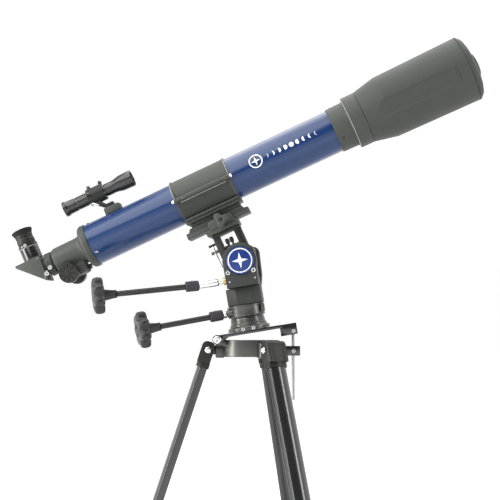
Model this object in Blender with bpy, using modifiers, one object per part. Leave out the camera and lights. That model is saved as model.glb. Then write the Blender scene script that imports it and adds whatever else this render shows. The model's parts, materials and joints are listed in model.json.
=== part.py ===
"""Refracting telescope on a tilting alt-azimuth mount and a folding tripod.

Every piece is its own object. The pieces hang from empties that stand on the joint axes:
tripod -> tilt hinge -> azimuth axis -> altitude axis -> optical tube.
Lengths are metres, angles are radians. Z is up and -Y is the near side.
"""

import math

import bmesh
import bpy
from mathutils import Matrix, Vector

# ---- tripod -------------------------------------------------------------------------------
RING_TOP = 0.660
RING_RADIUS = 0.055
RING_HEIGHT = 0.031
LEG_AZIMUTHS = [math.radians(a) for a in (183, -57, 63)]
LEG_SPLAY = math.radians(18.3)
LEG_PIVOT_RADIUS = 0.078
LEG_PIVOT_DROP = 0.0185
LEG_HALF_WIDTH = 0.017
LEG_INNER_FACE = -0.0095
LEG_EDGE_FACE = 0.004
LEG_CROWN_FACE = 0.010
LEG_WALL = 0.0018
UPPER_LEG_TOP = -0.0245
UPPER_LEG_END = -0.600
LOWER_LEG_TOP = -0.150
LOWER_LEG_END = -0.646
STRAP_PIVOT = (-0.0145, -0.330)
STRAP_LENGTH = 0.124
TRAY_RADIUS = 0.060
TRAY_THICKNESS = 0.004

# ---- wedge and mount ----------------------------------------------------------------------
HINGE_X = -0.0594
TILT = math.radians(9.4)
PLATE_FROM_HINGE = (0.0605, 0.0, 0.002)
PLATE_THICKNESS = 0.0065
ROD_PIN = (0.080, -0.008)
TRUNNION = (0.0802, -0.020)
ROD_LENGTH = 0.128
HEADING = math.radians(-6.4)
ALTITUDE_AXIS = (0.009, 0.134)
ALTITUDE = math.radians(15.05)
SLOT_HALF_WIDTH = 0.010
NEAR_FACE = -0.0425
FAR_FACE = 0.028
WHEEL_RADIUS = 0.0235
WHEEL_Y = -0.0315
ALTITUDE_WORM = (-0.074, -0.031, 0.102)
ALTITUDE_KNOB = (-0.252, -0.0871, 0.1117)
AZIMUTH_WORM = (-0.0405, -0.0185, 0.042)
AZIMUTH_KNOB = (-0.1839, -0.0742, 0.0381)
KNOB_RADIUS = 0.034
KNOB_THICKNESS = 0.021
KNOB_HUB = 0.023

# ---- optical tube: distances along the tube are counted from above the altitude axis ------
TUBE_AXIS_HEIGHT = 0.1493
TUBE_OFFSET = -0.0048
TUBE_RADIUS = 0.040
TUBE_WALL = 0.0012
TUBE_REAR = -0.241
TUBE_FRONT = 0.270
CRADLE = (-0.061, 0.051)
CRADLE_BORE = 0.0403
CRADLE_RADIUS = 0.0422
HINGE_PIN_Y = -0.0465
RAIL = (-0.070, 0.056)
RAIL_HALF_WIDTH = 0.018
SHIELD_REAR = 0.3203
SHIELD_SHOULDER = 0.365
SHIELD_FRONT = 0.527
CAP_FRONT = 0.549
FOCUSER_REAR = -0.319
PINION = (-0.2986, -0.034)
DRAWTUBE = (-0.335, -0.215)
DRAWTUBE_RADIUS = 0.019
EYEPIECE_X = -0.357
FINDER_HEIGHT = 0.082
FINDER_SHIFT = (-0.005, 0, 0.0015)

GAP = 0.0003

COLOURS = {
    "grey_plastic": ((0.105, 0.115, 0.100), 0.45, 0.0),
    "blue_enamel": ((0.020, 0.075, 0.280), 0.20, 0.3),
    "black_plastic": ((0.020, 0.021, 0.019), 0.45, 0.0),
    "black_enamel": ((0.030, 0.030, 0.032), 0.25, 0.2),
    "dark_metal": ((0.060, 0.065, 0.060), 0.30, 0.6),
    "chrome": ((0.75, 0.75, 0.76), 0.12, 1.0),
    "steel": ((0.45, 0.45, 0.44), 0.30, 1.0),
    "brass": ((0.60, 0.42, 0.18), 0.30, 1.0),
    "aluminium": ((0.60, 0.60, 0.61), 0.35, 1.0),
    "rubber": ((0.015, 0.015, 0.015), 0.75, 0.0),
    "glass": ((0.80, 0.90, 0.95), 0.02, 0.0),
    "badge_blue": ((0.015, 0.040, 0.220), 0.15, 0.0),
}


# ---- tools of the workshop ----------------------------------------------------------------
def clear_scene():
    for obj in list(bpy.data.objects):
        bpy.data.objects.remove(obj)


def new_collection(name):
    collection = bpy.data.collections.new(name)
    bpy.context.scene.collection.children.link(collection)
    return collection


def material(name):
    """A Principled material of one of the COLOURS."""
    found = bpy.data.materials.get(name)
    if found:
        return found
    colour, roughness, metallic = COLOURS[name]
    found = bpy.data.materials.new(name)
    found.use_nodes = True
    shader = found.node_tree.nodes["Principled BSDF"]
    shader.inputs["Base Color"].default_value = (*colour, 1.0)
    shader.inputs["Roughness"].default_value = roughness
    shader.inputs["Metallic"].default_value = metallic
    return found


def frame(name, parent, location=(0, 0, 0), rotation=(0, 0, 0)):
    """An empty that carries pieces, on a joint's axis."""
    empty = bpy.data.objects.new(name, None)
    empty.empty_display_size = 0.02
    PARTS.objects.link(empty)
    empty.parent = parent
    empty.location = location
    empty.rotation_euler = rotation
    return empty


def aimed_frame(name, parent, start, end):
    """An empty at start whose Z axis points to end."""
    start, end = Vector(start), Vector(end)
    turn = (end - start).to_track_quat("Z", "Y").to_euler()
    return frame(name, parent, start, turn)


def add_mesh(name, mesh, parent, finish=None):
    obj = bpy.data.objects.new(name, mesh)
    PARTS.objects.link(obj)
    obj.parent = parent
    if finish:
        mesh.materials.append(material(finish))
    return obj


def shade(mesh):
    """Smooth shading, with edges over 35 degrees kept sharp."""
    mesh.shade_smooth()
    mesh.set_sharp_from_angle(angle=math.radians(35))


def mesh_from(name, bm):
    mesh = bpy.data.meshes.new(name)
    bm.to_mesh(mesh)
    bm.free()
    shade(mesh)
    return mesh


def block(name, low, high, parent, finish=None, chamfer=0.0):
    """A box between two corners, its edges chamfered if asked."""
    low, high = Vector(low), Vector(high)
    bm = bmesh.new()
    scale = Matrix.Diagonal((high - low).to_4d())
    scale[3][3] = 1.0
    place = Matrix.Translation((low + high) / 2) @ scale
    bmesh.ops.create_cube(bm, size=1.0, matrix=place)
    obj = add_mesh(name, mesh_from(name, bm), parent, finish)
    if chamfer:
        bevel = obj.modifiers.new("chamfer", "BEVEL")
        bevel.width = chamfer
        bevel.segments = 1
        bevel.limit_method = "ANGLE"
    return obj


def rod(name, radius, start, end, parent, finish=None, sides=16):
    """A plain cylinder from start to end."""
    start, end = Vector(start), Vector(end)
    axis = end - start
    place = Matrix.Translation((start + end) / 2) @ axis.to_track_quat("Z", "Y").to_matrix().to_4x4()
    bm = bmesh.new()
    bmesh.ops.create_cone(
        bm, cap_ends=True, segments=sides, radius1=radius, radius2=radius, depth=axis.length, matrix=place
    )
    return add_mesh(name, mesh_from(name, bm), parent, finish)


# A turned piece is drawn with its axis along Z. These turns lay that axis along X, or along -Y.
ALONG = {"Z": (0, 0, 0), "X": (0, math.pi / 2, 0), "NEAR": (math.pi / 2, 0, 0)}


def turned(name, profile, parent, finish=None, along="Z", at=(0, 0, 0), ring=False, steps=24):
    """A lathe piece. The profile is (radius, height) pairs down the outer side; a ring's returns up its bore."""
    bm = bmesh.new()
    points = [bm.verts.new((radius, 0, height)) for radius, height in profile]
    for a, b in zip(points, points[1:]):
        bm.edges.new((a, b))
    if ring:
        bm.edges.new((points[-1], points[0]))
    mesh = bpy.data.meshes.new(name)
    bm.to_mesh(mesh)
    bm.free()
    obj = add_mesh(name, mesh, parent)
    screw = obj.modifiers.new("lathe", "SCREW")
    screw.steps = steps
    screw.render_steps = steps
    screw.use_merge_vertices = True
    screw.merge_threshold = 0.00001
    obj.data = evaluated_mesh(obj)
    obj.modifiers.clear()
    shade(obj.data)
    if finish:
        obj.data.materials.append(material(finish))
    obj.location = at
    obj.rotation_euler = ALONG[along]
    return obj


def evaluated_mesh(obj):
    graph = bpy.context.evaluated_depsgraph_get()
    return bpy.data.meshes.new_from_object(obj.evaluated_get(graph))


# A plate's outline is drawn in its own XY plane. This turn stands that plane in XZ.
STANDING = {"XY": (0, 0, 0), "XZ": (math.pi / 2, 0, 0)}


def plate(name, outline, low, high, parent, finish=None, plane="XY"):
    """A flat outline made solid between two levels of Z, or of Y when it stands in XZ."""
    curve = bpy.data.curves.new(name, "CURVE")
    curve.dimensions = "2D"
    curve.fill_mode = "BOTH"
    curve.extrude = (high - low) / 2
    spline = curve.splines.new("POLY")
    spline.points.add(len(outline) - 1)
    for point, (x, y) in zip(spline.points, outline):
        point.co = (x, y, 0, 1)
    spline.use_cyclic_u = True
    drawn = bpy.data.objects.new(name, curve)
    PARTS.objects.link(drawn)
    mesh = evaluated_mesh(drawn)
    bpy.data.objects.remove(drawn)
    bm = bmesh.new()
    bm.from_mesh(mesh)
    bmesh.ops.remove_doubles(bm, verts=bm.verts, dist=0.00001)
    bmesh.ops.recalc_face_normals(bm, faces=bm.faces)
    obj = add_mesh(name, mesh_from(name, bm), parent, finish)
    middle = (low + high) / 2
    obj.location = (0, 0, middle) if plane == "XY" else (0, middle, 0)
    obj.rotation_euler = STANDING[plane]
    return obj


def arc(centre, radius, start, end, count):
    """Points on an arc, from start to end degrees."""
    angles = [math.radians(start + (end - start) * i / (count - 1)) for i in range(count)]
    return [(centre[0] + radius * math.cos(a), centre[1] + radius * math.sin(a)) for a in angles]


def lobed(lobes, crown, depth, count):
    """A hand knob's outline: round lobes between shallow hollows."""
    outline = []
    for i in range(count):
        turn = 2 * math.pi * i / count
        hollow = 0.5 - 0.5 * math.cos(lobes * turn)
        radius = crown - depth * hollow**2
        outline.append((radius * math.cos(turn), radius * math.sin(turn)))
    return outline


def combine(target, tools, operation):
    for tool in tools:
        boolean = target.modifiers.new(tool.name, "BOOLEAN")
        boolean.operation = operation
        boolean.object = tool
        boolean.solver = "EXACT"
        for collection in list(tool.users_collection):
            collection.objects.unlink(tool)
        CUTTERS.objects.link(tool)
        tool.hide_render = True
        tool.display_type = "WIRE"
    return target


def unite(target, *tools):
    return combine(target, tools, "UNION")


def carve(target, *tools):
    return combine(target, tools, "DIFFERENCE")


# ---- tripod -------------------------------------------------------------------------------
def build_tripod_head(head):
    ring = turned(
        "tripod_head",
        [
            (RING_RADIUS, 0),
            (RING_RADIUS, -RING_HEIGHT),
            (RING_RADIUS - 0.005, -RING_HEIGHT),
            (RING_RADIUS - 0.005, -0.006),
            (0.012, -0.006),
            (0.012, 0),
        ],
        head,
        "dark_metal",
        ring=True,
        steps=32,
    )
    for i, azimuth in enumerate(LEG_AZIMUTHS, 1):
        arm = frame(f"lug_frame_{i}", head, rotation=(0, 0, azimuth))
        pivot = (LEG_PIVOT_RADIUS, 0, -LEG_PIVOT_DROP)
        unite(
            ring,
            block(f"lug_{i}", (0.048, -0.018, -0.0335), (0.064, 0.018, -0.005), arm, chamfer=0.0015),
            block(f"tongue_{i}", (0.060, -0.0090, -0.0268), (0.078, 0.0090, -0.0102), arm),
            rod(f"tongue_eye_{i}", 0.0085, (pivot[0], -0.0092, pivot[2]), (pivot[0], 0.0092, pivot[2]), arm),
        )
        carve(ring, rod(f"tongue_hole_{i}", 0.0034, (pivot[0], -0.03, pivot[2]), (pivot[0], 0.03, pivot[2]), arm))
    for side in (-1, 1):
        inner, outer = 0.0245 * side, 0.0325 * side
        low, high = min(inner, outer), max(inner, outer)
        unite(
            ring,
            rod(f"hinge_ear_{side}", 0.0085, (HINGE_X, low, 0), (HINGE_X, high, 0), head),
            block(f"hinge_foot_{side}", (HINGE_X, low + 0.0002, -0.012), (-0.043, high - 0.0002, -0.001), head),
        )
        low, high = min(0.0105 * side, 0.0145 * side), max(0.0105 * side, 0.0145 * side)
        unite(ring, block(f"rod_ear_{side}", (0.047, low, -0.029), (0.0925, high, -0.011), head, chamfer=0.001))
    carve(
        ring,
        rod("hinge_hole", 0.0037, (HINGE_X, -0.05, 0), (HINGE_X, 0.05, 0), head),
        rod("trunnion_hole", 0.0043, (TRUNNION[0], -0.02, TRUNNION[1]), (TRUNNION[0], 0.02, TRUNNION[1]), head),
    )
    turned(
        "wedge_hinge_bolt",
        [
            (0, 0.0465),
            (0.0055, 0.0465),
            (0.0070, 0.0450),
            (0.0070, 0.0424),
            (0.0033, 0.0424),
            (0.0033, -0.0424),
            (0.0070, -0.0424),
            (0.0070, -0.0450),
            (0.0055, -0.0465),
            (0, -0.0465),
        ],
        head,
        "chrome",
        along="NEAR",
        at=(HINGE_X, 0, 0),
        steps=20,
    )


def leg_outline(inset):
    """Cross-section of a leg: flat inside, crowned outside. Radial direction is X, across is Y."""
    half = LEG_HALF_WIDTH - inset
    inner = LEG_INNER_FACE + inset
    edge = LEG_EDGE_FACE - inset / 2
    crown = LEG_CROWN_FACE - inset
    rise = crown - edge
    bow = (half**2 + rise**2) / (2 * rise)
    reach = math.degrees(math.asin(half / bow))
    return [(inner, half), (inner, -half)] + arc((crown - bow, 0), bow, -reach, reach, 9)


def build_leg(i, head, azimuth):
    pivot = (
        LEG_PIVOT_RADIUS * math.cos(azimuth),
        LEG_PIVOT_RADIUS * math.sin(azimuth),
        -LEG_PIVOT_DROP,
    )
    leg = frame(f"leg_fold_{i}", head, pivot, (0, -LEG_SPLAY, azimuth))

    turned(
        f"leg_bolt_{i}",
        [
            (0, 0.0245),
            (0.0045, 0.0245),
            (0.0060, 0.0230),
            (0.0060, 0.0206),
            (0.0030, 0.0206),
            (0.0030, -0.0206),
            (0.0060, -0.0206),
            (0.0060, -0.0230),
            (0.0045, -0.0245),
            (0, -0.0245),
        ],
        leg,
        "chrome",
        along="NEAR",
        steps=16,
    )

    cheek = [(0.013, -0.0240), *arc((0.004, 0.0070), 0.009, 0, 90, 4)]
    cheek += [*arc((-0.002, 0.0070), 0.009, 90, 180, 4), (-0.011, -0.0240)]
    yoke = plate(f"leg_yoke_{i}", cheek, -0.020, 0.020, leg, "black_plastic", plane="XZ")
    carve(
        yoke,
        block(f"yoke_slot_{i}", (-0.03, -0.0098, -0.0105), (0.0095, 0.0098, 0.03), leg),
        rod(f"yoke_hole_{i}", 0.0033, (0, -0.03, 0), (0, 0.03, 0), leg, sides=16),
    )
    unite(yoke, block(f"yoke_collar_{i}", (-0.0125, -0.0200, -0.034), (0.0135, 0.0200, -0.0235), leg, chamfer=0.001))
    carve(yoke, plate(f"yoke_socket_{i}", leg_outline(-GAP), -0.040, UPPER_LEG_TOP + GAP, leg))

    upper = plate(f"upper_leg_{i}", leg_outline(0), UPPER_LEG_END, UPPER_LEG_TOP, leg, "black_enamel")
    x, z = STRAP_PIVOT
    unite(
        upper,
        block(f"strap_ear_near_{i}", (x - 0.005, -0.0100, z - 0.008), (-0.0090, -0.0070, z + 0.008), leg),
        block(f"strap_ear_far_{i}", (x - 0.005, 0.0070, z - 0.008), (-0.0090, 0.0100, z + 0.008), leg),
    )
    carve(
        upper,
        plate(f"leg_bore_{i}", leg_outline(LEG_WALL), UPPER_LEG_END - 0.01, UPPER_LEG_TOP - 0.010, leg),
        rod(f"strap_ear_hole_{i}", 0.0022, (x, -0.02, z), (x, 0.02, z), leg, sides=12),
    )

    lock = frame(f"leg_lock_{i}", leg, (LEG_CROWN_FACE, 0, UPPER_LEG_END + 0.016), (0, math.pi / 2, 0))
    knob = plate(f"leg_lock_knob_{i}", lobed(5, 0.0125, 0.003, 30), 0.0060, 0.0170, lock, "black_plastic")
    unite(knob, rod(f"leg_lock_stem_{i}", 0.0040, (0, 0, GAP), (0, 0, 0.0080), lock, sides=12))

    lower = frame(f"leg_extend_{i}", leg)
    section = plate(
        f"lower_leg_{i}", leg_outline(LEG_WALL + 0.0006), LOWER_LEG_END, LOWER_LEG_TOP, lower, "aluminium"
    )
    carve(section, plate(f"lower_bore_{i}", leg_outline(0.0042), LOWER_LEG_END + 0.01, LOWER_LEG_TOP + 0.01, lower))

    build_foot(i, lower)
    build_strap(i, leg)


def build_foot(i, lower):
    """A rubber shoe, cut level with the floor when the legs are spread."""
    floor = -(RING_TOP - LEG_PIVOT_DROP) / math.cos(LEG_SPLAY)
    shoe = block(
        f"leg_foot_{i}",
        (-0.0130, -0.0195, floor - 0.02),
        (0.0130, 0.0195, LOWER_LEG_END + 0.022),
        lower,
        "rubber",
        0.002,
    )
    level = frame(f"floor_frame_{i}", lower, (0, 0, floor), (0, LEG_SPLAY, 0))
    carve(
        shoe,
        block(f"floor_cut_{i}", (-0.06, -0.06, -0.06), (0.06, 0.06, 0), level),
        plate(f"shoe_socket_{i}", leg_outline(LEG_WALL + GAP), LOWER_LEG_END - GAP, LOWER_LEG_END + 0.05, lower),
    )


def build_strap(i, leg):
    """A spreader strap, level when the legs are spread, reaching from the leg towards the tray."""
    x, z = STRAP_PIVOT
    pivot = frame(f"strap_fold_{i}", leg, (x, 0, z), (0, LEG_SPLAY, 0))
    strap = block(f"spreader_strap_{i}", (-STRAP_LENGTH, -0.006, -0.0015), (0, 0.006, 0.0015), pivot, "steel")
    unite(
        strap,
        rod(f"strap_eye_{i}", 0.0040, (0, -0.006, 0), (0, 0.006, 0), pivot, sides=12),
        rod(f"strap_pin_{i}", 0.0018, (0, -0.0120, 0), (0, 0.0120, 0), pivot, sides=12),
    )


def build_tray(root):
    """The accessory tray, which lies on the inner ends of the straps and lifts off."""
    x, z = STRAP_PIVOT
    strap_level = RING_TOP - LEG_PIVOT_DROP + x * math.sin(LEG_SPLAY) + z * math.cos(LEG_SPLAY)
    tray = frame("tray_lift", root, (0, 0, strap_level + 0.0015 + GAP))
    outline = []
    for azimuth in LEG_AZIMUTHS:
        degrees = math.degrees(azimuth)
        spot = (0.034 * math.cos(azimuth), 0.034 * math.sin(azimuth))
        outline.append(arc(spot, TRAY_RADIUS - 0.034, degrees - 60, degrees + 60, 9))
    order = sorted(outline, key=lambda lobe: math.atan2(lobe[4][1], lobe[4][0]))
    points = [point for lobe in order for point in lobe]
    plate("accessory_tray", points, 0, TRAY_THICKNESS, tray, "black_plastic")


# ---- wedge --------------------------------------------------------------------------------
def build_wedge(wedge):
    """The tilting plate: two hinge knuckles at one end, the block for the tilt rod at the other."""
    hinge = (-PLATE_FROM_HINGE[0], -PLATE_FROM_HINGE[2])
    deck = block("wedge_plate", (-0.050, -0.042, 0), (0.060, 0.042, PLATE_THICKNESS), wedge, "black_enamel", 0.001)
    for side in (-1, 1):
        low, high = min(0.0329 * side, 0.042 * side), max(0.0329 * side, 0.042 * side)
        unite(
            deck,
            block(f"knuckle_arm_{side}", (hinge[0], low + 0.0002, 0.0004), (-0.045, high - 0.0002, 0.0061), wedge),
            rod(f"knuckle_{side}", 0.0090, (hinge[0], low, hinge[1]), (hinge[0], high, hinge[1]), wedge),
        )
    unite(deck, block("rod_block", (0.056, -0.014, -0.015), (0.0875, 0.014, PLATE_THICKNESS), wedge, chamfer=0.0008))
    pin_x, pin_z = ROD_PIN
    carve(
        deck,
        rod("knuckle_hole", 0.0037, (hinge[0], -0.05, hinge[1]), (hinge[0], 0.05, hinge[1]), wedge),
        block("rod_slot", (pin_x - 0.0115, -0.0045, -0.020), (pin_x + 0.0085, 0.0045, pin_z + 0.0065), wedge),
        rod("rod_pin_hole", 0.0024, (pin_x, -0.0116, pin_z), (pin_x, 0.0116, pin_z), wedge, sides=16),
    )

    swing = frame("rod_swing", wedge, (pin_x, 0, pin_z), (0, TILT, 0))
    tilt_rod = rod("tilt_rod", 0.00325, (0, 0, 0), (0, 0, -ROD_LENGTH), swing, "steel", sides=16)
    unite(
        tilt_rod,
        rod("rod_eye", 0.0050, (0, -0.0040, 0), (0, 0.0040, 0), swing, sides=16),
        rod("rod_pin", 0.0020, (0, -0.0110, 0), (0, 0.0110, 0), swing, sides=16),
    )


def build_trunnion(head):
    """The cross pin that the tilt rod runs through."""
    cross = frame("trunnion_turn", head, (TRUNNION[0], 0, TRUNNION[1]))
    pin = rod("tilt_trunnion", 0.0080, (0, -0.0101, 0), (0, 0.0101, 0), cross, "brass")
    unite(pin, rod("trunnion_stub", 0.0040, (0, -0.0150, 0), (0, 0.0150, 0), cross, sides=16))
    carve(pin, rod("trunnion_bore", 0.0047, (0, 0, -0.012), (0, 0, 0.012), cross, sides=16))


# ---- azimuth ------------------------------------------------------------------------------
def build_azimuth_base(wedge):
    """The fixed foot, with the azimuth worm wheel cut on its spindle."""
    turned(
        "azimuth_base",
        [
            (0, 0.0495),
            (0.0060, 0.0495),
            (0.0060, 0.0465),
            (0.0125, 0.0465),
            (0.0125, 0.0365),
            (0.0090, 0.0365),
            (0.0090, 0.0316),
            (0.0310, 0.0316),
            (0.0340, 0.0150),
            (0.0360, 0.0150),
            (0.0390, 0.0115),
            (0.0390, PLATE_THICKNESS + GAP),
            (0, PLATE_THICKNESS + GAP),
        ],
        wedge,
        "dark_metal",
    )


def build_azimuth_head(mount):
    """The turning head under the altitude housing: ring, worm box and block."""
    worm_x, worm_y, worm_z = AZIMUTH_WORM
    ring = turned(
        "azimuth_ring",
        [(0, 0.054), (0.0335, 0.054), (0.0345, 0.053), (0.0345, 0.0322), (0.014, 0.0322), (0.014, 0.050), (0, 0.050)],
        mount,
        "dark_metal",
        steps=32,
    )
    carve(ring, rod("worm_channel", 0.0064, (-0.04, worm_y, worm_z), (0.021, worm_y, worm_z), mount))
    front = [(-0.0295, -0.020), (-0.0105, -0.030), (0.0190, -0.030), (0.0345, -0.022)]
    outline = front + [(0.0345, 0.018), (0.0190, 0.026), (-0.0130, 0.026), (-0.0295, 0.018)]
    plate("head_block", outline, 0.0543, 0.0860, mount, "grey_plastic")


def build_azimuth_drive(mount):
    worm_x, worm_y, worm_z = AZIMUTH_WORM
    spin = frame("azimuth_worm_turn", mount, (0, worm_y, worm_z))
    turned(
        "azimuth_worm",
        [
            (0, 0.0195),
            (0.0038, 0.0195),
            (0.0038, 0.012),
            (0.0055, 0.010),
            (0.0055, -0.010),
            (0.0038, -0.012),
            (0.0038, -0.0335),
            (0.0070, -0.0335),
            (0.0070, worm_x),
            (0, worm_x),
        ],
        spin,
        "chrome",
        along="X",
        steps=16,
    )
    control = aimed_frame("azimuth_control_turn", mount, AZIMUTH_WORM, AZIMUTH_KNOB)
    reach = (Vector(AZIMUTH_KNOB) - Vector(AZIMUTH_WORM)).length
    build_control("azimuth", control, reach)


def build_control(name, control, reach):
    """A slow-motion shaft with its clamping sleeve, and the hand knob centred at reach."""
    hub = reach - KNOB_THICKNESS / 2 - KNOB_HUB
    turned(
        f"{name}_shaft",
        [
            (0, hub - GAP),
            (0.0053, hub - GAP),
            (0.0053, 0.0265),
            (0.0090, 0.0255),
            (0.0097, 0.0245),
            (0.0097, 0.0052),
            (0.0075, 0.0042),
            (0, 0.0042),
        ],
        control,
        "black_plastic",
        steps=20,
    )
    bottom, top = reach - KNOB_THICKNESS / 2, reach + KNOB_THICKNESS / 2
    knob = plate(f"{name}_knob", lobed(7, KNOB_RADIUS, 0.0055, 42), bottom, top, control, "black_plastic")
    unite(knob, rod(f"{name}_hub", 0.0100, (0, 0, hub), (0, 0, bottom + 0.002), control))


# ---- altitude -----------------------------------------------------------------------------
def build_altitude_housing(mount):
    """Two cheeks on a common foot. The near one holds the worm wheel, the far one has a square shoulder."""
    base = 0.0863
    axle_x, axle_height = ALTITUDE_AXIS
    foot = [(-0.0235, base), (0.0345, base)]
    near = foot + [(0.0368, 0.1460), (0.0355, 0.1530)] + arc(ALTITUDE_AXIS, 0.0335, 45, 180, 14)
    far = foot + [(0.0385, 0.1060), (0.0405, 0.1480), (0.0385, 0.1545)] + arc(ALTITUDE_AXIS, 0.0335, 52, 180, 13)
    housing = plate("altitude_housing", near, NEAR_FACE, -SLOT_HALF_WIDTH, mount, "grey_plastic", plane="XZ")
    worm_y, worm_z = ALTITUDE_WORM[1:]
    unite(
        housing,
        plate("far_cheek", far, SLOT_HALF_WIDTH, FAR_FACE, mount, plane="XZ"),
        block("housing_foot", (-0.0233, NEAR_FACE + 0.001, base + 0.0002), (0.0345, FAR_FACE - 0.001, 0.1050), mount),
    )
    carve(
        housing,
        rod("wheel_room", 0.0250, (axle_x, -0.06, axle_height), (axle_x, -0.0240, axle_height), mount, sides=32),
        rod("altitude_worm_room", 0.0082, (-0.05, worm_y, worm_z), (0.0310, worm_y, worm_z), mount),
        rod("axle_hole", 0.0064, (axle_x, -0.03, axle_height), (axle_x, 0.0250, axle_height), mount, sides=24),
    )
    turned(
        "altitude_badge",
        [
            (0, 0.0490),
            (0.0225, 0.0480),
            (0.0250, 0.0465),
            (0.0262, 0.0445),
            (0.0262, -NEAR_FACE + GAP),
            (0, -NEAR_FACE + GAP),
        ],
        mount,
        "badge_blue",
        along="NEAR",
        at=(axle_x, 0, axle_height),
    )


def build_altitude_drive(mount):
    worm_x, worm_y, worm_z = ALTITUDE_WORM
    spin = frame("altitude_worm_turn", mount, (0, worm_y, worm_z))
    turned(
        "altitude_worm",
        [
            (0, 0.029),
            (0.0045, 0.029),
            (0.0045, 0.024),
            (0.0072, 0.022),
            (0.0072, -0.014),
            (0.0045, -0.016),
            (0.0045, -0.0380),
            (0.0072, -0.0390),
            (0.0072, worm_x),
            (0, worm_x),
        ],
        spin,
        "chrome",
        along="X",
        steps=20,
    )
    control = aimed_frame("altitude_control_turn", mount, ALTITUDE_WORM, ALTITUDE_KNOB)
    reach = (Vector(ALTITUDE_KNOB) - Vector(ALTITUDE_WORM)).length
    build_control("altitude", control, reach)


def build_altitude_yoke(tilt):
    """What turns about the altitude axis: wheel with axle, yoke with two arms, and the saddle."""
    half = 0.0028 * 2
    turned(
        "altitude_wheel",
        [
            (0, -WHEEL_Y + half),
            (0.0095, -WHEEL_Y + half),
            (WHEEL_RADIUS, -WHEEL_Y + half - 0.001),
            (WHEEL_RADIUS, -WHEEL_Y - half),
            (0.0060, -WHEEL_Y - half),
            (0.0060, -0.0245),
            (0, -0.0245),
        ],
        tilt,
        "brass",
        along="NEAR",
    )
    hub = SLOT_HALF_WIDTH - 0.0005
    yoke = rod("altitude_yoke", 0.0270, (0, -hub, 0), (0, hub, 0), tilt, "grey_plastic", sides=32)
    unite(
        yoke,
        block("rear_arm", (-0.033, -hub + 0.0002, 0.004), (-0.020, hub - 0.0002, 0.0638), tilt),
        block("front_arm", (0.009, -hub + 0.0002, 0.008), (0.023, hub - 0.0002, 0.0638), tilt),
        block("arm_bridge", (-0.0335, -0.0130, 0.0608), (0.0235, 0.0130, 0.0660), tilt),
    )
    carve(yoke, rod("yoke_bore", 0.0063, (0, -0.02, 0), (0, 0.02, 0), tilt, sides=24))


def build_saddle(tilt):
    saddle = block("saddle", (-0.039, -0.0255, 0.0663), (0.025, 0.0255, 0.0770), tilt, "grey_plastic", 0.001)
    for side in (-1, 1):
        low, high = min(0.0185 * side, 0.0255 * side), max(0.0185 * side, 0.0255 * side)
        unite(saddle, block(f"jaw_{side}", (-0.029, low, 0.0683), (0.020, high, 0.0923), tilt, chamfer=0.001))
    carve(saddle, rod("jaw_hole", 0.0033, (-0.0015, -0.04, 0.0843), (-0.0015, 0, 0.0843), tilt, sides=16))

    clamp = frame("saddle_knob_turn", tilt, (-0.0015, 0, 0.0843), (math.pi / 2, 0, 0))
    knob = plate("saddle_knob", lobed(3, 0.0165, 0.0075, 36), 0.0300, 0.0400, clamp, "grey_plastic")
    unite(
        knob,
        rod("saddle_knob_collar", 0.0075, (0, 0, 0.0258), (0, 0, 0.0310), clamp),
        rod("saddle_knob_stem", 0.0030, (0, 0, 0.0184), (0, 0, 0.0270), clamp, sides=16),
    )


# ---- tube and cradle: Z is counted from the tube's axis ------------------------------------
def cradle_ring(name, ota, finish=None):
    rear, front = CRADLE
    rim = CRADLE_RADIUS + 0.0014
    return turned(
        name,
        [
            (rim, front),
            (rim, front - 0.004),
            (CRADLE_RADIUS, front - 0.005),
            (CRADLE_RADIUS, rear + 0.005),
            (rim, rear + 0.004),
            (rim, rear),
            (CRADLE_BORE, rear),
            (CRADLE_BORE, front),
        ],
        ota,
        finish,
        along="X",
        ring=True,
        steps=32,
    )


def hinge_barrel(name, radius, start, end, ota):
    return rod(name, radius, (start, HINGE_PIN_Y, 0), (end, HINGE_PIN_Y, 0), ota, sides=16)


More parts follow.
